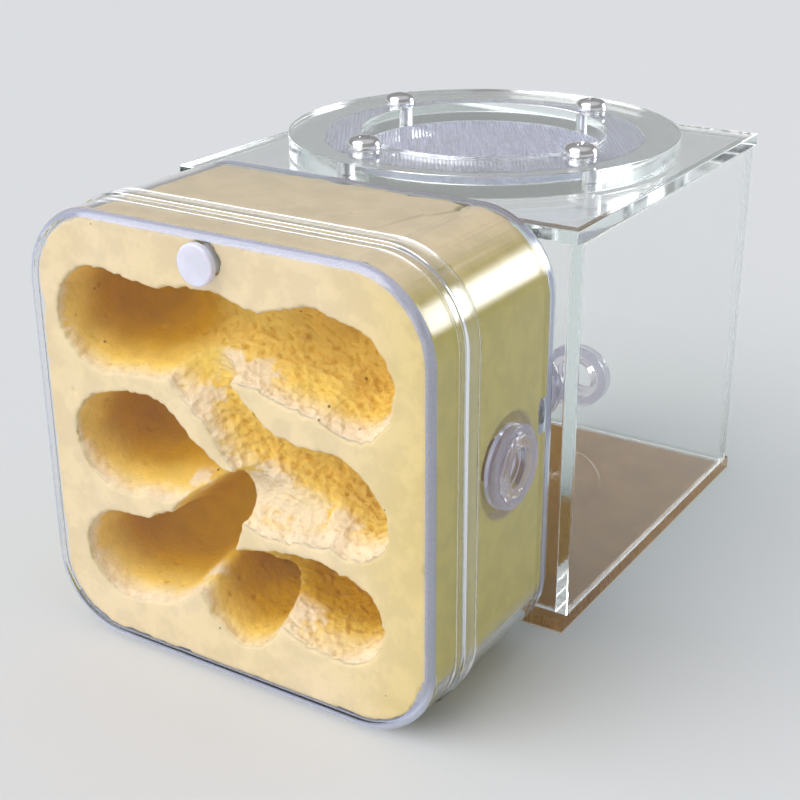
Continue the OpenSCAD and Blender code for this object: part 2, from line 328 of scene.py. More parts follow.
@dataclass(frozen=True)
class RoundedBox:
    """The nest's outside, seen from the front."""

    centre_x: float
    centre_z: float
    width: float
    height: float
    corner: float
    corner_steps: int = 24
    support: float = 0.15

    def ring(self, grow: float, y: float) -> list[Vector]:
        """One outline round the nest.

        Args:
            grow: How far the outline stands outside the nest's wall, in millimetres.
            y: Its place along the nest's depth, in millimetres.

        Returns:
            The outline's points, in metres.
        """
        radius = self.corner + grow
        points = []
        for quarter in range(4):
            middle = (quarter * 90 + 45) * math.pi / 180
            side_x, side_z = math.copysign(1, math.cos(middle)), math.copysign(1, math.sin(middle))
            x = self.centre_x + side_x * (self.width / 2 - self.corner)
            z = self.centre_z + side_z * (self.height / 2 - self.corner)
            turned = [math.radians(quarter * 90 + 90 * step / self.corner_steps)
                      for step in range(self.corner_steps + 1)]
            curve = [Vector((x + radius * math.cos(a), y, z + radius * math.sin(a))) for a in turned]
            before, after = (Vector((math.sin(a), 0, -math.cos(a))) * self.support
                             for a in (turned[0], turned[-1]))
            points += [p * MM for p in (curve[0] + before, *curve, curve[-1] - after)]
        return points

    def loft(self, profile: Profile) -> Mesh:
        """Draws a wall's section round the nest and closes both ends with flat faces.

        Args:
            profile: The section as (grow, y) points, from one flat face to the other.

        Returns:
            The closed mesh.
        """
        rings = [self.ring(grow, y) for grow, y in supported(profile)]
        return build_mesh("moulding", [p for ring in rings for p in ring], skin(len(rings), len(rings[0])))


# ---------------------------------------------------------------------------------------------
# Finishes
# ---------------------------------------------------------------------------------------------


class NodeNet:
    """A node tree, with the steps that the finishes are drawn with."""

    def __init__(self, tree: NodeTree) -> None:
        """Keeps the tree."""
        self.tree = tree

    def feed(self, node: Node, inputs: Feeds) -> None:
        """Links sockets and sets values on a node's inputs.

        Args:
            node: The node.
            inputs: Sockets, numbers, vectors or colours, by the input's name or number.
        """
        for key, value in inputs.items():
            socket = node.inputs[key]
            if isinstance(value, NodeSocket):
                self.tree.links.new(value, socket)
            else:
                socket.default_value = (*value, 1.0) if socket.type == "RGBA" else value

    def add(self, kind: str, inputs: Feeds | None = None, **settings: Any) -> Any:
        """Adds a shader node.

        Args:
            kind: The node's type, without the ShaderNode that each begins with.
            inputs: What its inputs get, as in feed.
            settings: The node's own properties.

        Returns:
            The node's outputs.
        """
        node = self.tree.nodes.new(f"ShaderNode{kind}")
        for key, value in settings.items():
            setattr(node, key, value)
        self.feed(node, inputs or {})
        return node.outputs

    def math(self, operation: str, *values: Any) -> Any:
        """Works sockets or numbers into one socket, from left to right."""
        return reduce(lambda a, b: self.add("Math", {0: a, 1: b}, operation=operation)[0], values)

    def plus(self, *values: Any) -> Any:
        """The sum of sockets and numbers."""
        return self.math("ADD", *values)

    def times(self, *values: Any) -> Any:
        """The product of sockets and numbers."""
        return self.math("MULTIPLY", *values)

    def most(self, *values: Any) -> Any:
        """The largest of some sockets and numbers."""
        return self.math("MAXIMUM", *values)

    def size_of(self, value: Any) -> Any:
        """A number without its sign."""
        return self.math("ABSOLUTE", value, 0.0)

    def ramp(self, value: Any, low: float, high: float, to_low: Any = 0.0, to_high: Any = 1.0) -> Any:
        """Maps a value smoothly from one range to another and keeps it there."""
        return self.add("MapRange", {0: value, 1: low, 2: high, 3: to_low, 4: to_high},
                        interpolation_type="SMOOTHSTEP")[0]

    def fall(self, value: Any, low: float, high: float) -> Any:
        """A smooth fall from 1 at low to 0 at high."""
        return self.ramp(value, low, high, 1.0, 0.0)

    def mix(self, factor: Any, a: Any, b: Any) -> Any:
        """A colour between a, where the factor is 0, and b, where it is 1."""
        return self.add("Mix", {0: factor, 6: a, 7: b}, data_type="RGBA")[2]

    def vector(self, operation: str, a: Any, b: Any) -> Any:
        """The outputs of one step on two vectors, or on a vector and the number that scales it."""
        return self.add("VectorMath", {0: a, 3 if operation == "SCALE" else 1: b}, operation=operation)

    def split(self, vector: Any) -> Any:
        """A vector's x, y and z."""
        return self.add("SeparateXYZ", {0: vector})

    def noise(self, at: Any, scale: Any, detail: float, **more: float) -> Any:
        """The outputs of a cloudy noise round some coordinates."""
        return self.add("TexNoise", {"Vector": at, "Scale": scale, "Detail": detail, **more})

    def painted(self, name: str) -> Any:
        """What a mesh's own attribute says at each spot."""
        return self.add("Attribute", attribute_name=name)["Fac"]

    def bump(self, height: Any, strength: float, distance_mm: float) -> Any:
        """The normal of a surface that a height of 1 raises by distance_mm."""
        return self.add("Bump", {"Height": height, "Strength": strength, "Distance": distance_mm * MM})[0]


class Effect:
    """A surface effect that several finishes share, as one shader node group."""

    def __init__(self, name: str, inputs: Sequence[str], outputs: Sequence[str],
                 draw: Callable[[NodeNet, Any], Feeds]) -> None:
        """Keeps what the group is called and how it is drawn.

        Args:
            name: The group's name.
            inputs: The names of its inputs. One that ends in Axis is a vector, the others are numbers.
            outputs: The names of its outputs, which are numbers.
            draw: Draws the group from its inputs and gives what its outputs get.
        """
        self.name, self.inputs, self.outputs, self.draw = name, inputs, outputs, draw
        self.tree: NodeTree | None = None

    def group(self) -> NodeTree:
        """The node group, made when it is first asked for.

        Returns:
            The group's tree.
        """
        if self.tree is None:
            self.tree = bpy.data.node_groups.new(self.name, "ShaderNodeTree")
            for way, names in (("INPUT", self.inputs), ("OUTPUT", self.outputs)):
                for name in names:
                    kind = "NodeSocketVector" if name.endswith("Axis") else "NodeSocketFloat"
                    self.tree.interface.new_socket(name=name, in_out=way, socket_type=kind)
            start, end = (self.tree.nodes.new(kind) for kind in ("NodeGroupInput", "NodeGroupOutput"))
            net = NodeNet(self.tree)
            net.feed(end, self.draw(net, start.outputs))
        return self.tree

    def use(self, net: NodeNet, **values: Any) -> Any:
        """Places the effect in a finish.

        Args:
            net: The finish's net.
            values: The group's inputs, with spaces in their names as underscores.

        Returns:
            The group's outputs.
        """
        inputs = {key.replace("_", " "): value for key, value in values.items()}
        return net.add("Group", inputs, node_tree=self.group())


def _grain(net: NodeNet, given: Any) -> Feeds:
    """Mottling at two sizes, as a value from 0 to 1 and a height.

    Args:
        net: The net that it is drawn in.
        given: The group's inputs.

    Returns:
        What Value and Height get.
    """
    at = net.add("TexCoord")["Object"]
    broad = net.noise(at, given["Scale"], 4.0, Roughness=0.6)[0]
    fine = net.noise(at, net.times(given["Scale"], 6.5), 3.0, Roughness=0.65)[0]
    return {"Value": net.ramp(broad, 0.34, 0.66), "Height": net.plus(broad, net.times(fine, 0.45))}


def _handling(net: NodeNet, given: Any) -> Feeds:
    """Smears and fine scratches on clear plastic, as a roughness and a height.

    Args:
        net: The net that it is drawn in.
        given: The group's inputs.

    Returns:
        What Roughness and Height get.
    """
    at = net.add("TexCoord")["Object"]
    smear = net.noise(at, given["Scale"], 3.0, Distortion=1.2)[0]
    stretched = net.add("Mapping", {"Vector": at, "Scale": (900.0, 70.0, 900.0)})[0]
    line = net.noise(stretched, 1.0, 2.0)[0]
    smeared = net.times(net.ramp(smear, 0.5, 0.75), given["Smear"])
    scratched = net.times(net.ramp(line, 0.66, 0.74), given["Scratch"])
    return {"Roughness": net.plus(smeared, scratched, given["Polish"]), "Height": smear}


def _specks(net: NodeNet, given: Any) -> Feeds:
    """Scattered round specks, as a mask.

    Args:
        net: The net that it is drawn in.
        given: The group's inputs.

    Returns:
        What Mask gets.
    """
    cells = net.add("TexVoronoi", {"Vector": net.add("TexCoord")["Object"], "Scale": given["Scale"]})
    chance = net.add("SeparateColor", {0: cells["Color"]})
    kept = net.math("LESS_THAN", chance[0], given["Share"])
    size = net.times(given["Size"], net.plus(chance[1], 0.3))
    return {"Mask": net.times(kept, net.math("LESS_THAN", cells["Distance"], size))}


def _cut_edge(net: NodeNet, given: Any) -> Feeds:
    """Where a sheet's sawn edge and its bevel show, with the saw's lines across it.

    Args:
        net: The net that it is drawn in.
        given: The group's inputs.

    Returns:
        What Mask, Arris and Lines get.
    """
    coordinates = net.add("TexCoord")
    flat = net.size_of(net.vector("DOT_PRODUCT", coordinates["Normal"], given["Sheet Axis"])["Value"])
    squeeze = net.vector("MULTIPLY", given["Sheet Axis"], (0.94, 0.94, 0.94))[0]
    keep = net.vector("SUBTRACT", (1.0, 1.0, 1.0), squeeze)[0]
    lines_at = net.vector("MULTIPLY", coordinates["Object"], keep)[0]
    return {
        "Mask": net.fall(flat, 0.35, 0.75),
        "Arris": net.times(net.ramp(flat, 0.1, 0.3), net.fall(flat, 0.85, 0.97)),
        "Lines": net.noise(lines_at, 1400.0, 3.0, Roughness=0.7)[0],
    }


def _rounded_edge(net: NodeNet, given: Any) -> Feeds:
    """Where a moulding's surface rounds over between its front or rear and its sides."""
    along = net.size_of(net.split(net.add("TexCoord")["Normal"])[1])
    return {"Mask": net.times(net.ramp(along, 0.08, 0.3), net.fall(along, 0.9, 0.985))}


GRAIN = Effect("grain", ["Scale"], ["Value", "Height"], _grain)
HANDLING = Effect("handling", ["Scale", "Smear", "Scratch", "Polish"], ["Roughness", "Height"], _handling)
SPECKS = Effect("specks", ["Scale", "Share", "Size"], ["Mask"], _specks)
ROUNDED_EDGE = Effect("rounded_edge", [], ["Mask"], _rounded_edge)
CUT_EDGE = Effect("cut_edge", ["Sheet Axis"], ["Mask", "Arris", "Lines"], _cut_edge)


@dataclass(frozen=True)
class Finish:
    """A finish. A clear one also lets lamp light and scattered light pass, so that what it covers is lit."""

    name: str
    light_behind: ClassVar[Colour | None] = None
    most_turns: ClassVar[float] = 4.5

    def draw(self, net: NodeNet) -> Feeds:
        """What the Principled shader's inputs get. Each finish says this for itself."""
        raise NotImplementedError

    def build(self) -> Material:
        """Makes the material.

        Returns:
            The material.
        """
        material = bpy.data.materials.new(self.name)
        material.use_nodes = True
        net = NodeNet(material.node_tree)
        shader = net.tree.nodes["Principled BSDF"]
        net.feed(shader, self.draw(net))
        if self.light_behind:
            net.feed(net.tree.nodes["Material Output"], {"Surface": self._passed(net, shader.outputs[0])})
        return material

    def _passed(self, net: NodeNet, shader: NodeSocket) -> NodeSocket:
        """Mixes a clear shader with light that goes straight on.

        Args:
            net: The material's net.
            shader: What every other ray meets.

        Returns:
            The mixed shader. After most_turns inside clear pieces a ray goes straight on too, so that
            none ends in black.
        """
        path = net.add("LightPath")
        tired = net.math("GREATER_THAN", path["Ray Depth"], self.most_turns)
        straight = net.most(path["Is Shadow Ray"], path["Is Diffuse Ray"], tired)
        clear = net.add("BsdfTransparent", {0: self.light_behind})[0]
        return net.add("MixShader", {0: straight, 1: shader, 2: clear})[0]


@dataclass(frozen=True)
class ClearPlastic(Finish):
    """Polished clear plastic with light smears, moulded or extruded."""

    colour: Colour
    ior: float
    polish: float
    waves: float = 0.2
    # Painted reflection: the lilac tint stands in for sky reflected at grazing angles and on the rounded
    # edges.
    rim: Colour = (0.74, 0.78, 0.92)
    gleam: float = 0.32
    soft_edge: float = 0.2
    light_behind: ClassVar[Colour] = (0.94, 0.95, 0.96)

    def draw(self, net: NodeNet) -> Feeds:
        """What the shader gets: a lilac rim at grazing angles and on the rounded edges, a painted reflection
        of the sky.

        Args:
            net: The net that it is drawn in.

        Returns:
            Values and sockets, by the input's name.
        """
        edge = ROUNDED_EDGE.use(net)["Mask"]
        grazing = net.ramp(net.add("LayerWeight", {"Blend": 0.5})["Facing"], 0.66, 0.97)
        marks = HANDLING.use(net, Scale=38.0, Smear=0.035, Scratch=0.05, Polish=self.polish)
        return {
            # Painted reflection: lilac where the surface is seen at a grazing angle or rounds over.
            "Base Color": net.mix(net.most(grazing, edge), self.colour, self.rim),
            "Roughness": net.plus(marks["Roughness"], net.times(edge, self.soft_edge)),
            "IOR": self.ior,
            "Transmission Weight": 1.0,
            "Specular Tint": (self.gleam,) * 3,
            "Coat Weight": net.times(edge, 0.9),
            "Coat Roughness": 0.12,
            "Coat IOR": 2.0,
            "Normal": net.bump(marks["Height"], self.waves, 0.12),
        }


@dataclass(frozen=True)
class MouldedEdge(Finish):
    """The thick rounded edge of a clear moulding, with a painted lilac band that stands in for the light
    gathered there.
    """

    colour: Colour = (0.38, 0.41, 0.58)
    # Painted light: the edge is paler where it looks down, standing in for light carried through the plastic.
    below: Colour = (0.74, 0.79, 1.0)
    clarity: float = 0.4
    light_behind: ClassVar[Colour] = (0.8, 0.82, 0.9)

    def draw(self, net: NodeNet) -> Feeds:
        """What the shader gets: a cloudy lilac band of painted light, painted paler where the edge looks
        down.

        Args:
            net: The net that it is drawn in.

        Returns:
            Values and sockets, by the input's name.
        """
        marks = HANDLING.use(net, Scale=60.0, Smear=0.06, Scratch=0.1, Polish=0.1)
        cloud = net.add("TexNoise", {"Scale": 240.0, "Detail": 3.0})[0]
        paler = tuple(min(1.0, c * 1.25) for c in self.colour)
        side = net.mix(net.ramp(cloud, 0.4, 0.62), self.colour, paler)
        upward = net.split(net.add("TexCoord")["Normal"])[2]
        return {
            # Painted light: the lilac band, paler where the edge looks down.
            "Base Color": net.mix(net.fall(upward, -0.3, -0.02), side, self.below),
            "Roughness": marks["Roughness"],
            "IOR": ACRYLIC_IOR,
            "Transmission Weight": self.clarity,
            "Coat Weight": 0.6,
            "Coat Roughness": 0.08,
            "Normal": net.bump(marks["Height"], 0.2, 0.1),
        }


@dataclass(frozen=True)
class AcrylicSheet(Finish):
    """Clear cast sheet, polished on its faces and sawn on its edges."""

    axis: SheetAxis
    face: Colour = (0.98, 0.99, 0.986)
    edge: Colour = (0.91, 0.965, 0.95)
    arris: Colour = (1.0, 1.0, 1.0)
    edge_roughness: float = 0.12
    arris_roughness: float = 0.35
    polish: float = 0.012
    gleam: float = 0.5
    light_behind: ClassVar[Colour] = (0.95, 0.97, 0.96)

    def draw(self, net: NodeNet) -> Feeds:
        """What the shader gets: streaks across the sawn edges, white bevels and smears on the faces.

        Args:
            net: The net that it is drawn in.

        Returns:
            Values and sockets, by the input's name.
        """
        cut = CUT_EDGE.use(net, Sheet_Axis=self.axis.value)
        marks = HANDLING.use(net, Scale=26.0, Smear=0.03, Scratch=0.05, Polish=self.polish)
        sawn = net.times(cut["Mask"], net.plus(net.ramp(cut["Lines"], 0.38, 0.64), 0.25))
        rough = net.plus(net.times(sawn, self.edge_roughness), net.times(cut["Arris"], self.arris_roughness))
        return {
            "Base Color": net.mix(cut["Arris"], net.mix(cut["Mask"], self.face, self.edge), self.arris),
            "Roughness": net.plus(rough, marks["Roughness"]),
            "IOR": ACRYLIC_IOR,
            "Transmission Weight": 1.0,
            "Specular Tint": (self.gleam,) * 3,
            "Normal": net.bump(net.times(cut["Lines"], cut["Mask"]), 0.3, 0.1),
        }


@dataclass(frozen=True)
class CarvedPlaster(Finish):
    """Cast gypsum: cream outside, amber that darkens with depth where it is carved, painted light on the
    lower lips that face up and painted shade in crevices.
    """

    face_y: float
    right_x: float
    cream: Colour = (0.92, 0.72, 0.44)
    yellow: Colour = (0.78, 0.59, 0.19)
    # Cream at the galleries' rims, also used as painted light on the lips that face up.
    lip: Colour = (0.97, 0.78, 0.53)
    shallow: Colour = (0.96, 0.66, 0.14)
    deep: Colour = (0.64, 0.33, 0.0)
    side: Colour = (0.66, 0.54, 0.12)
    top: Colour = (0.88, 0.69, 0.42)
    speck: Colour = (0.16, 0.10, 0.03)
    # Painted shade: the dark inside the crack in the block's top.
    gap: Colour = (0.24, 0.19, 0.12)

    def draw(self, net: NodeNet) -> Feeds:
        """What the shader gets: skin outside, hollows inside with painted light and shade, a crack painted
        dark as shade, grain, specks and chips.

        Args:
            net: The net that it is drawn in.

        Returns:
            Values and sockets, by the input's name.
        """
        coordinates = net.add("TexCoord")
        across, along, high = net.split(coordinates["Object"])
        looks = net.split(coordinates["Normal"])
        grain = GRAIN.use(net, Scale=160.0)
        blotch = GRAIN.use(net, Scale=45.0)["Value"]
        depth = net.math("SUBTRACT", along, self.face_y)
        worked = net.ramp(net.plus(across, net.times(high, 0.25)), -6.0 * MM, 22.0 * MM)
        carved = net.painted("carved")
        colour = net.mix(carved, self._skin(net, across, looks, blotch),
                         self._hollow(net, depth, worked, high, looks[2], blotch))
        # Painted shade: the crack is painted dark.
        colour = net.mix(net.painted("cracked"), colour, self.gap)
        dots = SPECKS.use(net, Scale=400.0, Share=0.035, Size=0.16)
        colour = net.mix(net.times(dots["Mask"], 0.75), colour, self.speck)
        chipped = net.times(self._chips(net, coordinates["Object"]), net.ramp(worked, 0.0, 1.0, 0.06, 0.9))
        rough = net.plus(net.times(grain["Height"], 0.8), chipped)
        return {
            "Base Color": net.vector("SCALE", colour, net.ramp(grain["Value"], 0.0, 1.0, 0.94, 1.04))[0],
            "Roughness": net.ramp(blotch, 0.0, 1.0, 0.62, 0.86),
            "Specular IOR Level": 0.03,
            "Normal": net.bump(net.times(rough, net.ramp(carved, 0.0, 1.0, 0.06, 1.0)), 1.0, 0.65),
        }

    def _hollow(self, net: NodeNet, depth: Any, worked: Any, high: Any, upward: Any, blotch: Any) -> Any:
        """The galleries' colour.

        Args:
            net: The material's net.
            depth: How far a spot lies behind the block's face, in metres.
            worked: How roughly it is carved, which grows to the right.
            high: Its height in metres.
            upward: How far it looks up, from -1 to 1.
            blotch: Mottling from 0 to 1.

        Returns:
            The colour's socket: painted light on lips that face up, pale crumbs and scraped spots, amber in
            the depth and painted shade in crevices.
        """
        at = net.plus(depth, net.times(net.math("SUBTRACT", blotch, 0.5), 2.5 * MM))
        start = net.mix(net.ramp(at, 0.0, 2.6 * MM), self.lip, self.shallow)
        dry = net.times(worked, net.ramp(high, 32 * MM, 42 * MM, 0.1, 1.0))
        late = net.times(at, net.ramp(dry, 0.0, 1.0, 1.0, 0.38))
        amber = net.mix(net.ramp(late, 2.6 * MM, 12.5 * MM), start, self.deep)
        reach = net.ramp(worked, 0.0, 1.0, 4.2 * MM, 5.4 * MM)
        near = net.fall(net.math("DIVIDE", at, reach), 0.3, 1.35)
        # Painted light: lips near the face that look up turn pale cream.
        lit_lips = net.times(net.ramp(upward, 0.05, 0.6), near, net.ramp(dry, 0.0, 1.0, 0.72, 1.0))
        raised = net.painted("raised")
        crumb = net.times(net.ramp(raised, 0.6, 0.95), net.ramp(worked, 0.0, 1.0, 0.1, 0.3))
        # Painted shade: crevices turn deep amber.
        amber = net.mix(net.times(net.fall(raised, 0.15, 0.42), 0.5), amber, self.deep)
        return net.mix(net.most(lit_lips, crumb, net.painted("scraped")), amber, self.lip)

    def _skin(self, net: NodeNet, across: Any, looks: Any, blotch: Any) -> Any:
        """The cast outside's colour: cream in front, yellower to the right, olive sides and a paler top.

        Args:
            net: The net that it is drawn in.
            across: A spot's place across the block, in metres.
            looks: Which way the spot looks, as x, y and z.
            blotch: Mottling from 0 to 1.

        Returns:
            The colour's socket.
        """
        to_right = net.ramp(across, self.right_x - 26 * MM, self.right_x - 2 * MM, 0.0, 0.55)
        front = net.mix(net.plus(to_right, net.times(blotch, 0.14)), self.cream, self.yellow)
        sides = net.mix(net.ramp(looks[2], 0.5, 0.95), self.side, self.top)
        return net.mix(net.ramp(looks[1], -0.8, -0.3), front, sides)

    def _chips(self, net: NodeNet, at: Any) -> Any:
        """The height of small overlapping chips that a carving tool leaves.

        Args:
            net: The net that it is drawn in.
            at: The coordinates that the chips lie in.

        Returns:
            The height's socket.
        """
        sway = net.vector("SCALE", net.noise(at, 300.0, 2.0)["Color"], 2.2 * MM)[0]
        slanted = net.add("Mapping", {"Vector": net.vector("ADD", at, sway)[0],
                                      "Rotation": (0.0, math.radians(38), 0.0), "Scale": (1.0, 0.9, 1.9)})
        return net.add("TexVoronoi", {"Vector": slanted[0], "Scale": 430.0})["Distance"]


@dataclass(frozen=True)
class Silicone(Finish):
    """Translucent bluish white silicone rubber."""

    colour: Colour
    clarity: float
    roughness: float
    glow: float = 0.0
    ior: float = 1.41
    light_behind: ClassVar[Colour] = (0.74, 0.76, 0.82)

    def draw(self, net: NodeNet) -> Feeds:
        """What the shader gets: a faintly mottled rubber that light sinks into.

        Args:
            net: The net that it is drawn in.

        Returns:
            Values and sockets, by the input's name.
        """
        grain = GRAIN.use(net, Scale=300.0)
        pale = tuple(min(1.0, c * 1.06) for c in self.colour)
        return {
            "Base Color": net.mix(grain["Value"], self.colour, pale),
            "Roughness": self.roughness,
            "IOR": self.ior,
            "Transmission Weight": self.clarity,
            "Subsurface Weight": self.glow,
            "Subsurface Scale": 2.5 * MM,
            "Normal": net.bump(grain["Height"], 0.15, 0.1),
        }


@dataclass(frozen=True)
class MaskingPaper(Finish):
    """Brown protective paper with fibres and a pale cut edge."""

    colour: Colour = (0.40, 0.19, 0.03)
    edge: Colour = (0.85, 0.66, 0.42)
    roughness: float = 0.55

    def draw(self, net: NodeNet) -> Feeds:
        """What the shader gets: darker fibres in the paper.

        Args:
            net: The net that it is drawn in.

        Returns:
            Values and sockets, by the input's name.
        """
        fibres = GRAIN.use(net, Scale=95.0)
        darker = tuple(c * 0.8 for c in self.colour)
        paper = net.mix(fibres["Value"], darker, self.colour)
        cut = CUT_EDGE.use(net, Sheet_Axis=SheetAxis.Z.value)["Mask"]
        return {
            "Base Color": net.mix(cut, paper, self.edge),
            "Roughness": self.roughness,
            "Normal": net.bump(fibres["Height"], 0.3, 0.06),
        }


@dataclass(frozen=True)
class Steel(Finish):
    """Bright steel, as drawn wire or plated screws."""

    colour: Colour
    roughness: float
    grain: float

    def draw(self, net: NodeNet) -> Feeds:
        """What the shader gets: a grain that dulls the steel here and there.

        Args:
            net: The net that it is drawn in.

        Returns:
            Values and sockets, by the input's name.
        """
        grain = GRAIN.use(net, Scale=self.grain)["Value"]
        dull = tuple(c * 0.9 for c in self.colour)
        return {
            "Base Color": net.mix(grain, dull, self.colour),
            "Roughness": net.ramp(grain, 0.0, 1.0, self.roughness, self.roughness * 1.8),
            "Metallic": 1.0,
        }


@dataclass(frozen=True)
class MattPaint(Finish):
    """The floor's even paint."""

    colour: Colour
    roughness: float = 0.85
    shine: float = 0.1

    def draw(self, net: NodeNet) -> Feeds:
        """What the shader gets: plain values."""
        return {"Base Color": self.colour, "Roughness": self.roughness, "Specular IOR Level": self.shine}


class Finishes:
    """Every finish on the habitat, each made once."""

    def __init__(self) -> None:
        """Builds the materials."""
        face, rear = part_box("plaster_block")
        self.moulding = ClearPlastic("clear_moulding", (0.97, 0.98, 1.0), 1.43, 0.01).build()
        # The rounded edges' finish, a painted lilac band of light.
        self.rounding = MouldedEdge("moulded_edge").build()
        self.tube = ClearPlastic("clear_tube", (0.93, 0.97, 0.98), 1.5, 0.03).build()
        self.sheet = {axis: AcrylicSheet(f"acrylic_{axis.name.lower()}", axis).build() for axis in SheetAxis}
        self.drilled = AcrylicSheet("acrylic_drilled", SheetAxis.Z, edge=(0.95, 0.95, 1.0),
                                    edge_roughness=0.7).build()
        self.base = AcrylicSheet("acrylic_base", SheetAxis.Z, face=(0.97, 0.95, 0.92),
                                 edge=(1.0, 0.89, 0.76), edge_roughness=0.45).build()
        self.plaster = CarvedPlaster("carved_plaster", face.y, rear.x).build()
        self.port = Silicone("silicone_port", (0.93, 0.88, 1.0), 0.82, 0.07).build()
        self.plug = Silicone("silicone_plug", (0.72, 0.73, 0.84), 0.15, 0.25, 0.5).build()
        self.paper = MaskingPaper("masking_paper").build()
        self.wire = Steel("steel_wire", (0.84, 0.85, 1.0), 0.3, 900.0).build()
        self.screw = Steel("plated_steel", (0.86, 0.86, 0.88), 0.07, 700.0).build()


# ---------------------------------------------------------------------------------------------
# Sub-assemblies
# ---------------------------------------------------------------------------------------------


def seat(piece: Object, body: str, slot: Slot, *nodes: str) -> Object:
    """Ties a finished piece to the frame and reports it.

    Args:
        piece: The piece.
        body: The body that it moves with.
        slot: The record's slot for its finish. Not used.
        nodes: The CAD nodes that it stands for.

    Returns:
        The same piece.
    """
    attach(piece, body)
    if nodes:
        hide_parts(*nodes)
    LOG.info("%s: %d faces, on %s", piece.name, len(piece.data.polygons), body)
    return piece


def middle_of(node: str) -> Vector:
    """The middle of a CAD node's box."""
    low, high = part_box(node)
    return (low + high) / 2


@dataclass
class SiliconePort:
    """A tube port: two flanges, a neck in the wall between them, and a raised ring."""

    finish: Material
    bore: float = 9.0
    ring: float = 14.8
    flange: float = 18.0
    neck: float = 13.0
    flange_t: float = 1.1
    proud: float = 2.0

    def profile(self, wall: float) -> Profile:
        """The port's section.

        Args:
            wall: The thickness of the wall that it sits in.

        Returns:
            Points as (radius, height above the wall's outer face).
        """
        bore, ring, flange, neck = self.bore / 2, self.ring / 2, self.flange / 2, self.neck / 2
        back = -wall - self.flange_t
        lip, soft = 0.55, 0.35
        return [
            *arc((bore + lip, self.proud - lip), lip, 180, 90),
            *arc((ring - lip, self.proud - lip), lip, 90, 0),
            (ring, self.flange_t + 0.25), (ring + 0.25, self.flange_t),
            *arc((flange - soft, self.flange_t - soft), soft, 90, 0, 4),
            (flange, 0), (neck, 0), (neck, -wall), (flange, -wall),
            *arc((flange - soft, back + soft), soft, 0, -90, 4),
            *arc((bore + soft, back + soft), soft, -90, -180, 4),
            (bore, -0.9), (bore + 0.18, -0.75), (bore + 0.18, 0.35), (bore, 0.5),
        ]

    def build(self, node: str, body: str, facing: Facing, wall: float) -> Object:
        """Makes the port that stands for a node.

        Args:
            node: The CAD node.
            body: The body that it rides on.
            facing: The way that its ring looks.
            wall: The thickness of its wall.

        Returns:
            The port.
        """
        low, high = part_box(node)
        centre = (low + high) / 2
        outward = facing.value @ Vector((0, 0, 1))
        depth = (high - low).dot(Vector([abs(c) for c in outward]))
        outer = centre + outward * (depth / 2 - self.proud * MM)
        piece = place(f"{node}_grommet", lathe(self.profile(wall), outer, facing), self.finish)
        return seat(piece, body, Slot.SILICONE, node)


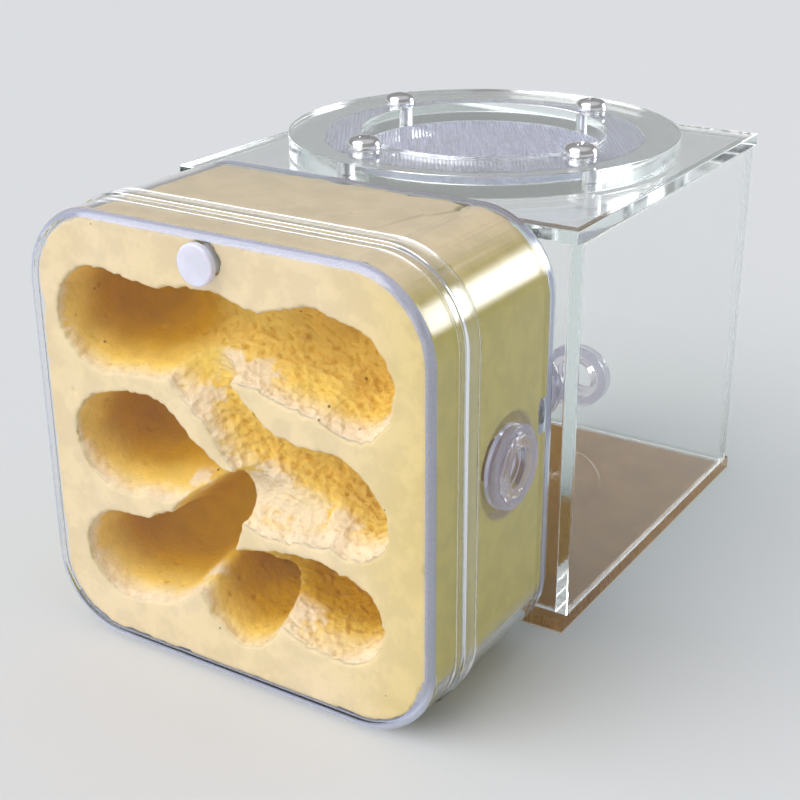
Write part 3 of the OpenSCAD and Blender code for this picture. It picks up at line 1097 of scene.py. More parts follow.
@dataclass
class NestBox:
    """The clear moulded box: a cover with a raised lip, a shell with a tongue, their ports and plug."""

    finishes: Finishes
    lip_proud: float = 0.7
    lip_len: float = 5.0
    edge: float = 2.4
    corner: float = 18.0
    cover_face: float = 2.0
    cover_wall: float = 1.7
    shell_wall: float = 2.0
    tongue: float = 1.0
    gap: float = 0.2
    hole_gap: float = 0.08
    inner_fillet: float = 0.9
    rear_strip: float = 1.5
    cover_strip: float = 8.0
    edge_start: float = 0.25
    edge_end: float = 0.94
    edge_end_below: float = 0.999
    looks_down: float = 0.02
    looks_to_side: float = 0.6
    level: float = 0.05
    plug_head: float = 8.8
    plug_stem: float = 6.0

    def __post_init__(self) -> None:
        """Reads the box's place from the frame."""
        low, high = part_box("front_cover")
        shell_low, shell_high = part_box("nest_shell")
        size, centre = (high - low) / MM, (high + low) / 2 / MM
        self.face_y, self.lip_end = low.y / MM, high.y / MM
        self.tongue_y, self.rear_y = shell_low.y / MM, shell_high.y / MM
        self.outline = RoundedBox(centre.x, centre.z, size.x - 2 * self.lip_proud,
                                  size.z - 2 * self.lip_proud, self.corner)

    def cover(self) -> Object:
        """The front cover, with its lip round the shell's tongue and the plug's hole.

        Returns:
            The cover.
        """
        face, lip_end, lip, edge = self.face_y, self.lip_end, self.lip_proud, self.edge
        lip_start = lip_end - self.lip_len
        recess = -self.shell_wall + self.tongue + self.gap
        step_y = self.tongue_y - self.gap
        inner, fillet = -self.cover_wall, self.inner_fillet
        inner_face = face + self.cover_face
        section = [
            (-edge - 0.6, face), (-edge - 0.05, face),
            *[(-edge + x, y) for x, y in arc((0, face + edge), edge, -90, 0, 8)],
            (0, lip_start - 0.3), (0.08, lip_start - 0.08), (0.3, lip_start),
            (lip - 0.25, lip_start), (lip - 0.07, lip_start + 0.07), (lip, lip_start + 0.25),
            (lip, lip_end - 0.3), (lip - 0.09, lip_end - 0.09), (lip - 0.3, lip_end),
            (recess + 0.15, lip_end), (recess + 0.04, lip_end - 0.04), (recess, lip_end - 0.15),
            (recess, step_y + 0.05), (recess - 0.05, step_y), (inner + 0.15, step_y),
            (inner + 0.04, step_y - 0.04), (inner, step_y - 0.15),
            *[(inner - fillet + x, y) for x, y in arc((0, inner_face + fillet), fillet, 0, -90, 5)],
            (inner - fillet - 0.5, inner_face),
        ]
        piece = place("clear_cover", self.outline.loft(section), self.finishes.moulding)
        plug = middle_of("water_plug")
        hole = self.plug_stem / 2 + self.hole_gap
        at = Vector((plug.x, face * MM, plug.z))
        drill(piece, [cylinder(hole, -1, self.cover_face + 1, at, Facing.REAR)])
        # Painted light: the lilac band runs on over a strip of the cover's underside.
        self._dress_edge(piece, -1.0, face, self.cover_strip, Vector((0, 0, -1)))
        return seat(piece, "cover", Slot.MOULDED, "front_cover")

    def shell(self) -> Object:
        """The rear shell, with its tongue and its two port holes.

        Returns:
            The shell.
        """
        rear, edge, wall = self.rear_y, self.edge, self.shell_wall
        start = self.lip_end + 0.1
        tongue_out = -wall + self.tongue
        inner_rear, fillet = rear - wall, self.inner_fillet
        section = [
            (-edge - 0.6, rear), (-edge - 0.05, rear),
            *[(-edge + x, y) for x, y in arc((0, rear - edge), edge, 90, 0, 8)],
            (0, rear - edge - self.rear_strip), (0, start + 0.25), (-0.07, start + 0.07), (-0.25, start),
            (tongue_out + 0.06, start), (tongue_out, start - 0.06),
            (tongue_out, self.tongue_y + 0.25), (tongue_out - 0.08, self.tongue_y + 0.08),
            (tongue_out - 0.25, self.tongue_y), (-wall + 0.2, self.tongue_y),
            (-wall + 0.05, self.tongue_y + 0.05), (-wall, self.tongue_y + 0.2),
            *[(-wall - fillet + x, y) for x, y in arc((0, inner_rear - fillet), fillet, 0, 90, 5)],
            (-wall - fillet - 0.5, inner_rear),
        ]
        piece = place("clear_shell", self.outline.loft(section), self.finishes.moulding)
        hole = SiliconePort.neck / 2 + self.hole_gap
        side, link = middle_of("side_port"), middle_of("nest_link_port")
        right = (self.outline.centre_x + self.outline.width / 2) * MM
        drill(piece, [
            cylinder(hole, -wall - 1, 1, Vector((right, side.y, side.z)), Facing.RIGHT),
            cylinder(hole, -wall - 1, 1, Vector((link.x, rear * MM, link.z)), Facing.REAR),
        ])
        self._dress_edge(piece, 1.0, rear, self.rear_strip)
        return seat(piece, "nest", Slot.MOULDED, "nest_shell")

    def _dress_edge(self, piece: Object, outward: float, end_y: float, strip: float,
                    side: Vector | None = None) -> None:
        """Gives a moulding's rounded outer edge, and a strip beside it, the finish with the painted lilac
        band of light.

        Args:
            piece: The moulding.
            outward: The way that its flat face looks along the depth, as 1 or -1.
            end_y: Where that face lies, in millimetres.
            strip: How far the finish runs on over the flat sides.
            side: The way that a side has to look for the finish to run on over it, or None for all.
        """
        middle = Vector((self.outline.centre_x, 0, self.outline.centre_z)) * MM

        def on_edge(face: MeshPolygon) -> bool:
            """Whether a face lies on the rounded edge or on the strip beside it.

            Args:
                face: The face.

            Returns:
                True for such a face.
            """
            from_end, turned = abs(face.center.y / MM - end_y), outward * face.normal.y
            to_side = None if side is None else face.normal.dot(side)
            underneath = to_side is not None and to_side > self.looks_down
            flattest = self.edge_end_below if underneath else self.edge_end
            if from_end < self.edge and self.edge_start < turned < flattest:
                return True
            outside = (face.center - middle).dot(Vector((face.normal.x, 0, face.normal.z))) > 0
            outside = outside and (to_side is None or to_side > self.looks_to_side)
            return outside and abs(turned) < self.level and self.edge < from_end < self.edge + strip

        dress_faces(piece, self.finishes.rounding, on_edge)

    def plug(self) -> Object:
        """The silicone plug over the watering pocket.

        Returns:
            The plug.
        """
        low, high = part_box("water_plug")
        head, stem, soft = self.plug_head / 2, self.plug_stem / 2, 0.6
        proud, end = self.face_y - low.y / MM, high.y / MM - self.face_y
        section = [
            (0, -proud), *arc((head - soft, soft - proud), soft, -90, 0),
            (head, -0.15), (head - 0.15, 0), (stem, 0), *arc((stem - soft, end - soft), soft, 0, 90),
            (0, end),
        ]
        centre = middle_of("water_plug")
        at = Vector((centre.x, self.face_y * MM, centre.z))
        piece = place("water_plug_silicone", lathe(section, at, Facing.REAR, 64), self.finishes.plug)
        return seat(piece, "plug", Slot.SILICONE, "water_plug")

    def build(self) -> None:
        """Makes every piece of the nest box."""
        self.cover()
        self.shell()
        self.plug()
        port = SiliconePort(self.finishes.port)
        port.build("side_port", "nest", Facing.RIGHT, self.shell_wall)
        port.build("nest_link_port", "nest", Facing.REAR, self.shell_wall)


class SpaceNoise:
    """Smooth seeded noise in space."""

    CELLS = 48

    def __init__(self, seed: int) -> None:
        """Fills the table of values that the noise runs through."""
        self.table = np.random.default_rng(seed).uniform(-1, 1, (self.CELLS,) * 3)

    def at(self, points: Array, cell: Sequence[float] | float) -> Array:
        """The noise at some points.

        Args:
            points: Positions in millimetres, one row each.
            cell: The size of one lump, the same every way or one size for each axis.

        Returns:
            Values from -1 to 1.
        """
        grid = points / np.asarray(cell, float)
        low = np.floor(grid).astype(int)
        part = grid - low
        part = part * part * (3 - 2 * part)
        total = np.zeros(len(points))
        for corner in np.ndindex(2, 2, 2):
            index = (low + corner) % self.CELLS
            weight = np.prod(np.where(corner, part, 1 - part), axis=1)
            total += weight * self.table[index[:, 0], index[:, 1], index[:, 2]]
        return total


def ease(value: Array, low: float, high: float) -> Array:
    """A smooth step from 0 at low to 1 at high."""
    t = np.clip((value - low) / (high - low), 0, 1)
    return t * t * (3 - 2 * t)


@dataclass
class PlasterBlock:
    """The cast block with its carved galleries, worked over as if by hand."""

    finishes: Finishes
    voxel: float = 0.5
    quick_voxel: float = 1.1
    smoothing: int = 2
    blending: int = 16
    rim_wander: float = 0.6
    lump: float = 0.22
    gouge: float = 0.4
    crumble: float = 0.2
    pits: int = 200
    kept_faces: float = 0.4
    seed: int = 11
    crack: tuple[tuple[float, float], ...] = (
        (31.8, -31.0), (31.2, -35.0), (31.9, -37.6), (31.2, -40.0), (29.6, -42.6), (27.8, -43.4))
    scraped: tuple[tuple[float, float, float], ...] = (
        (8.0, 45.4, 7.5), (17.5, 44.6, 6.5), (26.0, 43.6, 4.5), (-1.9, 36.0, 4.5), (-8.0, 25.5, 5.5),
        (-0.5, 70.8, 4.5), (7.0, 71.0, 5.0), (-6.1, 63.5, 3.0), (17.0, 21.5, 5.5), (-11.0, 45.5, 4.0))
    rounded: tuple[tuple[float, float, float], ...] = (
        (3.5, 71.5, 5.5), (4.5, 48.0, 5.0), (3.4, 40.0, 5.0), (2.0, 33.0, 5.0), (-3.5, 26.5, 5.5),
        (14.5, 26.0, 5.0))
    rounding: int = 70
    crack_drop: float = 1.5
    pit_radius: tuple[float, float] = (0.45, 0.95)
    pit_depth: tuple[float, float] = (0.3, 0.75)

    def __post_init__(self) -> None:
        """Reads the block's box from the frame, in millimetres, and fills the noises."""
        self.low, self.high = (np.array(corner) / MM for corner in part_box("plaster_block"))
        self.broad, self.fine, self.third = (SpaceNoise(self.seed + step) for step in range(3))

    def build(self) -> None:
        """Makes the block."""
        piece = self._remeshed()
        points, _ = self._read(piece.data)
        inside = self._carved(points) * ease(self._distances(points)[0], 0.8, 2.6)
        self._write(piece.data, self._evened(piece.data, self.blending, inside))
        meeting = inside * self._near(points, self.rounded, 0.7, 1.1, 1.0)
        self._write(piece.data, self._evened(piece.data, self.rounding, meeting))
        points, normals = self._read(piece.data)
        points = self._worked(points, normals)
        self._write(piece.data, points)
        thin = piece.modifiers.new("thin", "DECIMATE")
        thin.ratio = self.kept_faces
        apply_modifiers(piece)
        points, _ = self._read(piece.data)
        painted = {"carved": self._carved(points), "raised": self._raised(piece.data),
                   "scraped": self._scraped_pale(points), "cracked": self._cracked(points)}
        for name, values in painted.items():
            layer = piece.data.attributes.new(name, "FLOAT", "POINT")
            layer.data.foreach_set("value", values.astype(np.float32))
        piece.data.shade_smooth()
        dress(piece, self.finishes.plaster)
        seat(piece, "nest", Slot.PLASTER, "plaster_block")

    def _remeshed(self) -> Object:
        """A copy of the CAD block with even, small faces.

        Returns:
            The new piece.
        """
        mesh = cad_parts["plaster_block"].data.copy()
        with editing(mesh) as work:
            bmesh.ops.remove_doubles(work, verts=work.verts, dist=2 * SAME_PLACE)
        piece = place("carved_block", mesh)
        remesh = piece.modifiers.new("even", "REMESH")
        remesh.mode = "VOXEL"
        remesh.voxel_size = self.voxel * MM
        smooth = piece.modifiers.new("smooth", "SMOOTH")
        smooth.iterations = self.smoothing
        smooth.factor = 0.5
        apply_modifiers(piece)
        return piece

    @staticmethod
    def _read(mesh: Mesh) -> tuple[Array, Array]:
        """The mesh's vertices in millimetres and their normals.

        Args:
            mesh: The mesh.

        Returns:
            Positions and normals, one row each.
        """
        count = len(mesh.vertices)
        points, normals = np.empty(count * 3, np.float32), np.empty(count * 3, np.float32)
        mesh.vertices.foreach_get("co", points)
        mesh.vertices.foreach_get("normal", normals)
        return points.reshape(-1, 3).astype(float) / MM, normals.reshape(-1, 3).astype(float)

    @staticmethod
    def _write(mesh: Mesh, points: Array) -> None:
        """Moves the mesh's vertices to positions in millimetres."""
        mesh.vertices.foreach_set("co", (points * MM).astype(np.float32).ravel())
        mesh.update()

    def _evened(self, mesh: Mesh, rounds: int, share: Array | float = 1.0) -> Array:
        """Where a mesh's vertices would lie on even ground.

        Args:
            mesh: The mesh.
            rounds: How often each vertex moves towards its neighbours.
            share: How much of that each vertex follows.

        Returns:
            The positions in millimetres.
        """
        even, _ = self._read(mesh)
        edges = np.empty(len(mesh.edges) * 2, np.int32)
        mesh.edges.foreach_get("vertices", edges)
        start, end = np.concatenate([edges.reshape(-1, 2), edges.reshape(-1, 2)[:, ::-1]]).T
        count = np.maximum(np.bincount(start, minlength=len(even)), 1)
        weight = 0.6 * np.broadcast_to(share, len(even))[:, None]
        for _ in range(rounds):
            around = np.stack([np.bincount(start, even[end, axis], len(even)) for axis in range(3)], axis=1)
            even = even + weight * (around / count[:, None] - even)
        return even

    def _distances(self, points: Array) -> tuple[Array, Array, Array]:
        """How deep points lie behind the block's face, inside its sides, and in front of its rear.

        Args:
            points: Positions in millimetres, one row each.

        Returns:
            The three distances of each point, in millimetres.
        """
        inside = np.minimum(points - self.low, self.high - points)
        to_side = np.minimum(inside[:, [0, 2]].min(axis=1), self._to_corner(points))
        return points[:, 1] - self.low[1], to_side, self.high[1] - points[:, 1]

    def _carved(self, points: Array) -> Array:
        """How carved each point is, from 0 on the cast skin to 1 in a gallery."""
        depth, to_side, to_rear = self._distances(points)
        return ease(depth, 0.15, 0.9) * ease(np.minimum(to_side, to_rear), 2.6, 4.6)

    @staticmethod
    def _near(points: Array, spots: Iterable[tuple[float, float, float]], start: float, end: float,
              reach: Array | float) -> Array:
        """How close points lie to some spots on the block's front.

        Args:
            points: Positions in millimetres.
            spots: The spots, as x, z and radius.
            start: The share of a radius up to which a point counts fully.
            end: The share of a radius from which it doesn't count.
            reach: What the radii are multiplied by at each point.

        Returns:
            Values from 0 to 1.
        """
        near = np.zeros(len(points))
        for x, z, radius in spots:
            away = np.hypot(points[:, 0] - x, points[:, 2] - z) / (radius * reach)
            near = np.maximum(near, 1 - ease(away, start, end))
        return near

    def _scraped_pale(self, points: Array) -> Array:
        """How dry and pale the galleries' floor is at each point, from 0 to 1.

        Args:
            points: Positions in millimetres, one row each.

        Returns:
            The values.
        """
        noise = SpaceNoise(self.seed + 3)
        edge = 1.0 + 0.3 * noise.at(points, 4.0) + 0.5 * noise.at(points + 21.0, 1.2)
        pale = self._near(points, self.scraped, 0.65, 1.15, edge)
        return 0.92 * pale * (1 - ease(self._distances(points)[0], 6.5, 9.5))

    def _raised(self, mesh: Mesh, rounds: int = 10, reach: float = 0.3) -> Array:
        """How far each vertex stands out of its surroundings.

        Args:
            mesh: The finished mesh.
            rounds: How often the surroundings are evened.
            reach: The height in millimetres that counts as fully raised.

        Returns:
            Values from 0 in a crevice, over 0.5 on even ground, to 1 on a crumb.
        """
        points, normals = self._read(mesh)
        height = np.einsum("ij,ij->i", points - self._evened(mesh, rounds), normals)
        return np.clip(0.5 + 0.5 * height / reach, 0, 1)

    def _worked(self, points: Array, normals: Array) -> Array:
        """Gives the block its hand-carved surface.

        Args:
            points: Vertex positions in millimetres.
            normals: Their normals.

        Returns:
            The moved positions.
        """
        depth, to_side, to_rear = self._distances(points)
        carved = self._carved(points)
        moved = points + self._rim_shift(points, depth, to_side)
        inwards = self._gallery_shift(points, normals, depth) * carved
        moved += normals * inwards[:, None]
        moved += self._edge_wear(points, depth, to_side, to_rear)
        moved[:, 2] -= self.crack_drop * self._cracked(points)
        moved = self._pitted(moved, normals, carved)
        return np.clip(moved, self.low, self.high)

    def _to_corner(self, points: Array, corner: float = 15.85) -> Array:
        """How far each point lies inside the block's rounded corners.

        Args:
            points: Positions in millimetres, one row each.
            corner: The corners' radius.

        Returns:
            Distances in millimetres, and FAR for a point that is in no corner.
        """
        centre = (self.low + self.high) / 2
        reach = (self.high - self.low) / 2 - corner
        away = np.abs(points - centre)[:, [0, 2]] - reach[[0, 2]]
        in_corner = np.all(away > 0, axis=1)
        gap = corner - np.hypot(away[:, 0], away[:, 1])
        return np.where(in_corner, gap, FAR)

    def _rim_shift(self, points: Array, depth: Array, to_side: Array) -> Array:
        """Lets the galleries' rims wander across the block's face.

        Args:
            points: Positions in millimetres, one row each.
            depth: How deep they lie behind the block's face.
            to_side: How far inside its sides they lie.

        Returns:
            How far each point moves, in millimetres, one row each.
        """
        flat = points * np.array([1.0, 0.15, 1.0])
        fade = ease(to_side, 1.5, 5.0) * (1 - 0.6 * ease(depth, 2.0, 8.0)) * ease(-depth, -40.0, -20.0)
        shift = np.zeros_like(points)
        for axis, offset in ((0, 0.0), (2, 57.0)):
            wander = 0.9 * self.broad.at(flat + offset, 6.0) + 0.5 * self.fine.at(flat + offset, 2.4)
            wander += 0.6 * self.fine.at(flat + 2 * offset + 5.0, 1.2) * (1 - ease(depth, 0.8, 3.0))
            shift[:, axis] = self.rim_wander * wander * fade
        return shift

    def _gallery_shift(self, points: Array, normals: Array, depth: Array) -> Array:
        """How far each point of a gallery stands off its smooth form, along its normal.

        Args:
            points: Positions in millimetres, one row each.
            normals: Their normals.
            depth: How deep they lie behind the block's face.

        Returns:
            Heights in millimetres.
        """
        lumps = self.broad.at(points, 7.0) + 0.4 * self.fine.at(points, 3.4)
        slanted = points @ np.array([[0.8, 0.0, 0.6], [0.0, 1.0, 0.0], [-0.6, 0.0, 0.8]])
        marks = 1 - 2 * np.abs(self.third.at(slanted, (2.6, 2.2, 1.1)))
        nicks = 1 - 2 * np.abs(self.fine.at(slanted + 31.0, (1.5, 1.3, 0.8)))
        worked = ease(points[:, 0] + 0.25 * points[:, 2], -6.0, 20.0)
        gouges = self.gouge * (0.12 + 0.88 * worked) * (0.45 * marks + 0.55 * nicks)
        lip = ease(normals[:, 2], 0.1, 0.7) * (1 - ease(depth, 2.5, 6.0))
        grit = self.broad.at(points + 13.0, 1.4) + 0.7 * self.third.at(points, 0.9)
        return self.lump * lumps + gouges + self.crumble * lip * grit

    def _edge_wear(self, points: Array, depth: Array, to_side: Array, to_rear: Array) -> Array:
        """Chips the block's front edge and leaves its rear top edge ragged.

        Args:
            points: Positions in millimetres, one row each.
            depth: How deep they lie behind the block's face.
            to_side: How far inside its sides they lie.
            to_rear: How far in front of its rear they lie.

        Returns:
            How far each point moves, in millimetres, one row each.
        """
        shift = np.zeros_like(points)
        chips = np.clip(self.fine.at(points, 2.4) - 0.15, 0, 1) * (1 - ease(depth, 0.5, 2.2))
        chips *= 1 - ease(to_side, 0.4, 2.4)
        inward = np.sign((self.low + self.high) / 2 - points) * np.array([1.0, 0.0, 1.0])
        shift += inward * (0.9 * chips)[:, None]
        top = ease(points[:, 2], self.high[2] - 9.0, self.high[2] - 2.0)
        drawn_out = points * np.array([1.0, 0.1, 0.1])
        ragged = 1.3 + 1.3 * self.fine.at(drawn_out, 5.0) + 0.8 * self.fine.at(drawn_out + 9.0, 1.8)
        shift[:, 1] -= np.clip(ragged, 0, None) * top * (1 - ease(to_rear, 0.2, 3.0))
        return shift

    def _cracked(self, points: Array, width: float = 0.7) -> Array:
        """How much of the crack in the block's top each point has, from 0 to 1.

        Args:
            points: Positions in millimetres, one row each.
            width: How far the crack reaches from its middle, in millimetres.

        Returns:
            The values.
        """
        nearest = np.full(len(points), FAR)
        for start, end in zip(self.crack, self.crack[1:]):
            a, b = np.array(start), np.array(end)
            along = np.clip(((points[:, :2] - a) @ (b - a)) / ((b - a) @ (b - a)), 0, 1)
            away = np.hypot(*(points[:, :2] - a - along[:, None] * (b - a)).T)
            nearest = np.minimum(nearest, away)
        narrowing = width * (0.35 + 0.65 * ease(points[:, 1], -43.0, -33.0))
        open_to = ease(points[:, 2], self.high[2] - 2.2, self.high[2] - 1.6)
        return open_to * (1 - ease(nearest, 0.3 * narrowing, narrowing))

    def _pitted(self, points: Array, normals: Array, carved: Array) -> Array:
        """Presses small round pits into the galleries, and a few into the face.

        Args:
            points: Positions in millimetres, one row each.
            normals: Their normals.
            carved: How carved each of them is, from 0 to 1.

        Returns:
            The moved positions.
        """
        random = np.random.default_rng(self.seed + 5)
        chance = 0.12 + carved
        centres = random.choice(len(points), self.pits, replace=False, p=chance / chance.sum())
        moved = points.copy()
        for centre in centres:
            radius = random.uniform(*self.pit_radius)
            depth = random.uniform(*self.pit_depth) * radius
            near = np.flatnonzero(np.abs(points[:, 0] - points[centre, 0]) < radius)
            near = near[np.linalg.norm(points[near] - points[centre], axis=1) < radius]
            fall = 1 - (np.linalg.norm(points[near] - points[centre], axis=1) / radius) ** 2
            moved[near] -= normals[near] * (depth * fall)[:, None]
        return moved


@dataclass
class SheetBuilder:
    """Cuts clear sheets to the frame's sizes, with softened edges."""

    bevel: float = 0.22
    shrink: float = 0.012

    def cut(self, name: str, node: str, material: Material,
            holes: Sequence[Mesh] = (), sink: float = 0.0) -> Object:
        """Makes one sheet.

        Args:
            name: The piece's name.
            node: The CAD node that it stands for.
            material: Its finish.
            holes: What is drilled out of it.
            sink: How far it reaches into what it lies on, in millimetres.

        Returns:
            The sheet.
        """
        low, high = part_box(node)
        low, high = low + Vector([self.shrink * MM] * 3), high - Vector([self.shrink * MM] * 3)
        low.z -= sink * MM
        mesh = bpy.data.meshes.new(name)
        with editing(mesh) as work:
            bmesh.ops.create_cube(work, size=1.0)
            for vertex in work.verts:
                vertex.co = Vector(b if c > 0 else a for a, b, c in zip(low, high, vertex.co))
            bmesh.ops.bevel(work, geom=work.edges[:], offset=self.bevel * MM, segments=2, profile=0.5,
                            affect="EDGES")
        piece = place(name, mesh, material)
        if holes:
            drill(piece, holes)
        soften(piece.data, SHEET_SMOOTH_ANGLE)
        return piece


@dataclass
class ForagingBox:
    """The sheet-built box: four walls on a base whose brown masking paper is still on."""

    finishes: Finishes
    sheets: SheetBuilder = field(default_factory=SheetBuilder)
    hole_gap: float = 0.08
    tube_bore: float = 6.4

    def build(self) -> None:
        """Makes every piece of the foraging box."""
        self._walls()
        base = self.sheets.cut("base_sheet", "base_panel", self.finishes.base, sink=0.03)
        seat(base, "foraging_box", Slot.BASE, "base_panel")
        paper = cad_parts["base_masking_sheet"]
        dress(paper, self.finishes.paper)
        port = SiliconePort(self.finishes.port)
        low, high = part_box("front_panel")
        wall = (high.y - low.y) / MM
        port.build("box_link_port", "foraging_box", Facing.FRONT, wall)
        port.build("rear_port", "foraging_box", Facing.REAR, wall)
        self._tube()

    def _walls(self) -> None:
        """Makes the four walls, two of them drilled for ports."""
        radius = SiliconePort.neck / 2 + self.hole_gap
        ports = {"front_panel": "box_link_port", "rear_panel": "rear_port"}
        for side in ("front", "rear", "left", "right"):
            node = f"{side}_panel"
            holes = []
            if node in ports:
                low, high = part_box(node)
                at = middle_of(ports[node])
                start = Vector((at.x, low.y, at.z))
                holes.append(cylinder(radius, -1, (high.y - low.y) / MM + 1, start, Facing.REAR))
            axis = SheetAxis.Y if node in ports else SheetAxis.X
            piece = self.sheets.cut(f"{side}_wall", node, self.finishes.sheet[axis], holes)
            seat(piece, "foraging_box", Slot.ACRYLIC, node)

    def _tube(self) -> None:
        """Makes the short tube that the ants walk through."""
        low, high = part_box("link_tube")
        centre = (low + high) / 2
        outer, bore, length = (high.x - low.x) / 2 / MM, self.tube_bore / 2, (high.y - low.y) / MM
        soft = 0.2
        section = [
            *arc((outer - soft, soft), soft, -90, 0, 3),
            *arc((outer - soft, length - soft), soft, 0, 90, 3),
            *arc((bore + soft, length - soft), soft, 90, 180, 3),
            *arc((bore + soft, soft), soft, 180, 270, 3),
        ]
        at = Vector((centre.x, low.y, centre.z))
        piece = place("link_tube_clear", lathe(section, at, Facing.REAR, 64), self.finishes.tube)
        seat(piece, "foraging_box", Slot.TUBE, "link_tube")


@dataclass
class WireCloth:
    """Woven wire cloth, its wires flattened where they cross."""

    pitch: float = 0.88
    width: tuple[float, float] = (0.5, 0.24)
    height: float = 0.19
    wave: tuple[float, float] = (0.05, 0.1)
    turn: float = 32.7

    def mesh(self, centre: Vector, radius: float, holes: Sequence[Vector], hole_radius: float) -> Mesh:
        """Weaves a round piece.

        Args:
            centre: The middle of the cloth.
            radius: Its radius in millimetres.
            holes: Where it is pierced.
            hole_radius: The holes' radius in millimetres.

        Returns:
            The cloth's mesh.
        """
        half = int(radius / self.pitch)
        turned = np.array(Matrix.Rotation(math.radians(self.turn), 3, "Z"))
        pierced = (np.array([h - centre for h in holes]) / MM @ turned)[:, :2]
        points: list[Array] = []
        faces: list[tuple[int, ...]] = []
        count = 0
        for way, width, wave in zip((0, 1), self.width, self.wave):
            section = np.array([[-width / 2, 0], [0, self.height / 2], [width / 2, 0], [0, -self.height / 2]])
            for line in range(-half, half + 1):
                offset = line * self.pitch
                reach = math.sqrt(max(radius ** 2 - offset ** 2, 0))
                steps = int(reach / self.pitch)
                if steps < 1:
                    continue
                crossing = np.arange(-steps, steps + 1)
                along = crossing * self.pitch
                lift = wave * np.where((crossing + line + way) % 2, 1.0, -1.0)
                across = offset + section[None, :, 0] + 0 * along[:, None]
                run = along[:, None] + 0 * section[None, :, 0]
                up = lift[:, None] + section[None, :, 1]
                rows = np.stack([run, across, up] if way else [across, run, up], axis=-1)
                points.append(rows.reshape(-1, 3))
                middles = rows[:, :, :2].mean(axis=1)
                away = np.linalg.norm(middles[:, None] - pierced[None], axis=2)
                open_at = np.min(away, axis=1) < hole_radius
                for step in range(len(along) - 1):
                    if open_at[step] or open_at[step + 1]:
                        continue
                    a, b = count + 4 * step, count + 4 * (step + 1)
                    faces += [(a + k, a + (k + 1) % 4, b + (k + 1) % 4, b + k) for k in range(4)]
                count += 4 * len(along)
        flat = np.concatenate(points) @ turned.T * MM + np.array(centre)
        mesh = bpy.data.meshes.new("cloth")
        mesh.from_pydata(flat.tolist(), [], faces)
        with editing(mesh) as work:
            loose = [v for v in work.verts if not v.link_faces]
            bmesh.ops.delete(work, geom=loose, context="VERTS")
            bmesh.ops.recalc_face_normals(work, faces=work.faces)
        mesh.shade_smooth()
        return mesh


@dataclass
class PanScrew:
    """An M4 pan-head screw with a cross recess."""

    head_r: float = 4.0
    head_h: float = 2.7
    thread_r: float = 2.0
    thread_pitch: float = 0.7
    thread_depth: float = 0.36
    length: float = 8.0
    recess: float = 2.1
    recess_w: float = 0.5
    recess_depth: float = 1.25

    def head(self, at: Vector, turn: float) -> Object:
        """The head, standing on a point, with its recess turned by some degrees.

        Args:
            at: The middle of the head's underside, in metres.
            turn: How far the recess is turned, in degrees.

        Returns:
            The head.
        """
        steps = 12
        dome = [(self.head_r * math.cos(a) ** 0.5, self.head_h * math.sin(a) ** 0.72)
                for a in (math.pi / 2 * i / steps for i in range(1, steps))]
        section = [(0, 0), (self.head_r - 0.25, 0), (self.head_r, 0.22), *dome, (0, self.head_h)]
        piece = place("head", lathe(section, at, Facing.UP, 48))
        drill(piece, [self._cross(at, turn)])
        return piece

    def _cross(self, at: Vector, turn: float) -> Mesh:
        """The cross recess as a closed mesh that narrows downwards.

        Args:
            at: The middle of the head's underside, in metres.
            turn: How far the recess is turned, in degrees.

        Returns:
            The recess.
        """
        outline = []
        for arm in range(4):
            a = math.radians(turn + 90 * arm)
            out, side = Vector((math.cos(a), math.sin(a), 0)), Vector((-math.sin(a), math.cos(a), 0))
            tip, half = out * self.recess, side * self.recess_w
            outline += [tip - half, tip + half, (out + side) * self.recess_w]
        top = self.head_h + 0.6
        bottom = self.head_h - self.recess_depth
        points = [at + Vector((p.x, p.y, z)) * MM
                  for z, narrow in ((top, 1.0), (bottom, 0.62)) for p in (q * narrow for q in outline)]
        return build_mesh("cross", points, skin(2, len(outline)))

    def shaft(self, at: Vector, facets: int = 28, rows_per_turn: int = 7) -> Object:
        """The threaded shaft under a head that stands on a point.

        Args:
            at: The middle of the head's underside, in metres.
            facets: Faces round the shaft.
            rows_per_turn: Rows of points in one turn of the thread.

        Returns:
            The shaft.
        """
        rows = int(self.length / self.thread_pitch * rows_per_turn)
        points = []
        for row in range(rows + 1):
            z = -self.length * row / rows
            blunt = min(1.0, (rows - row) / rows_per_turn * 1.4 + 0.45)
            for facet in range(facets):
                part = (z / self.thread_pitch - facet / facets) % 1
                r = (self.thread_r - self.thread_depth * abs(2 * part - 1)) * min(1.0, blunt)
                a = 2 * math.pi * facet / facets
                points.append(at + Vector((r * math.cos(a), r * math.sin(a), z)) * MM)
        return place("shaft", build_mesh("thread", points, skin(rows + 1, facets)))


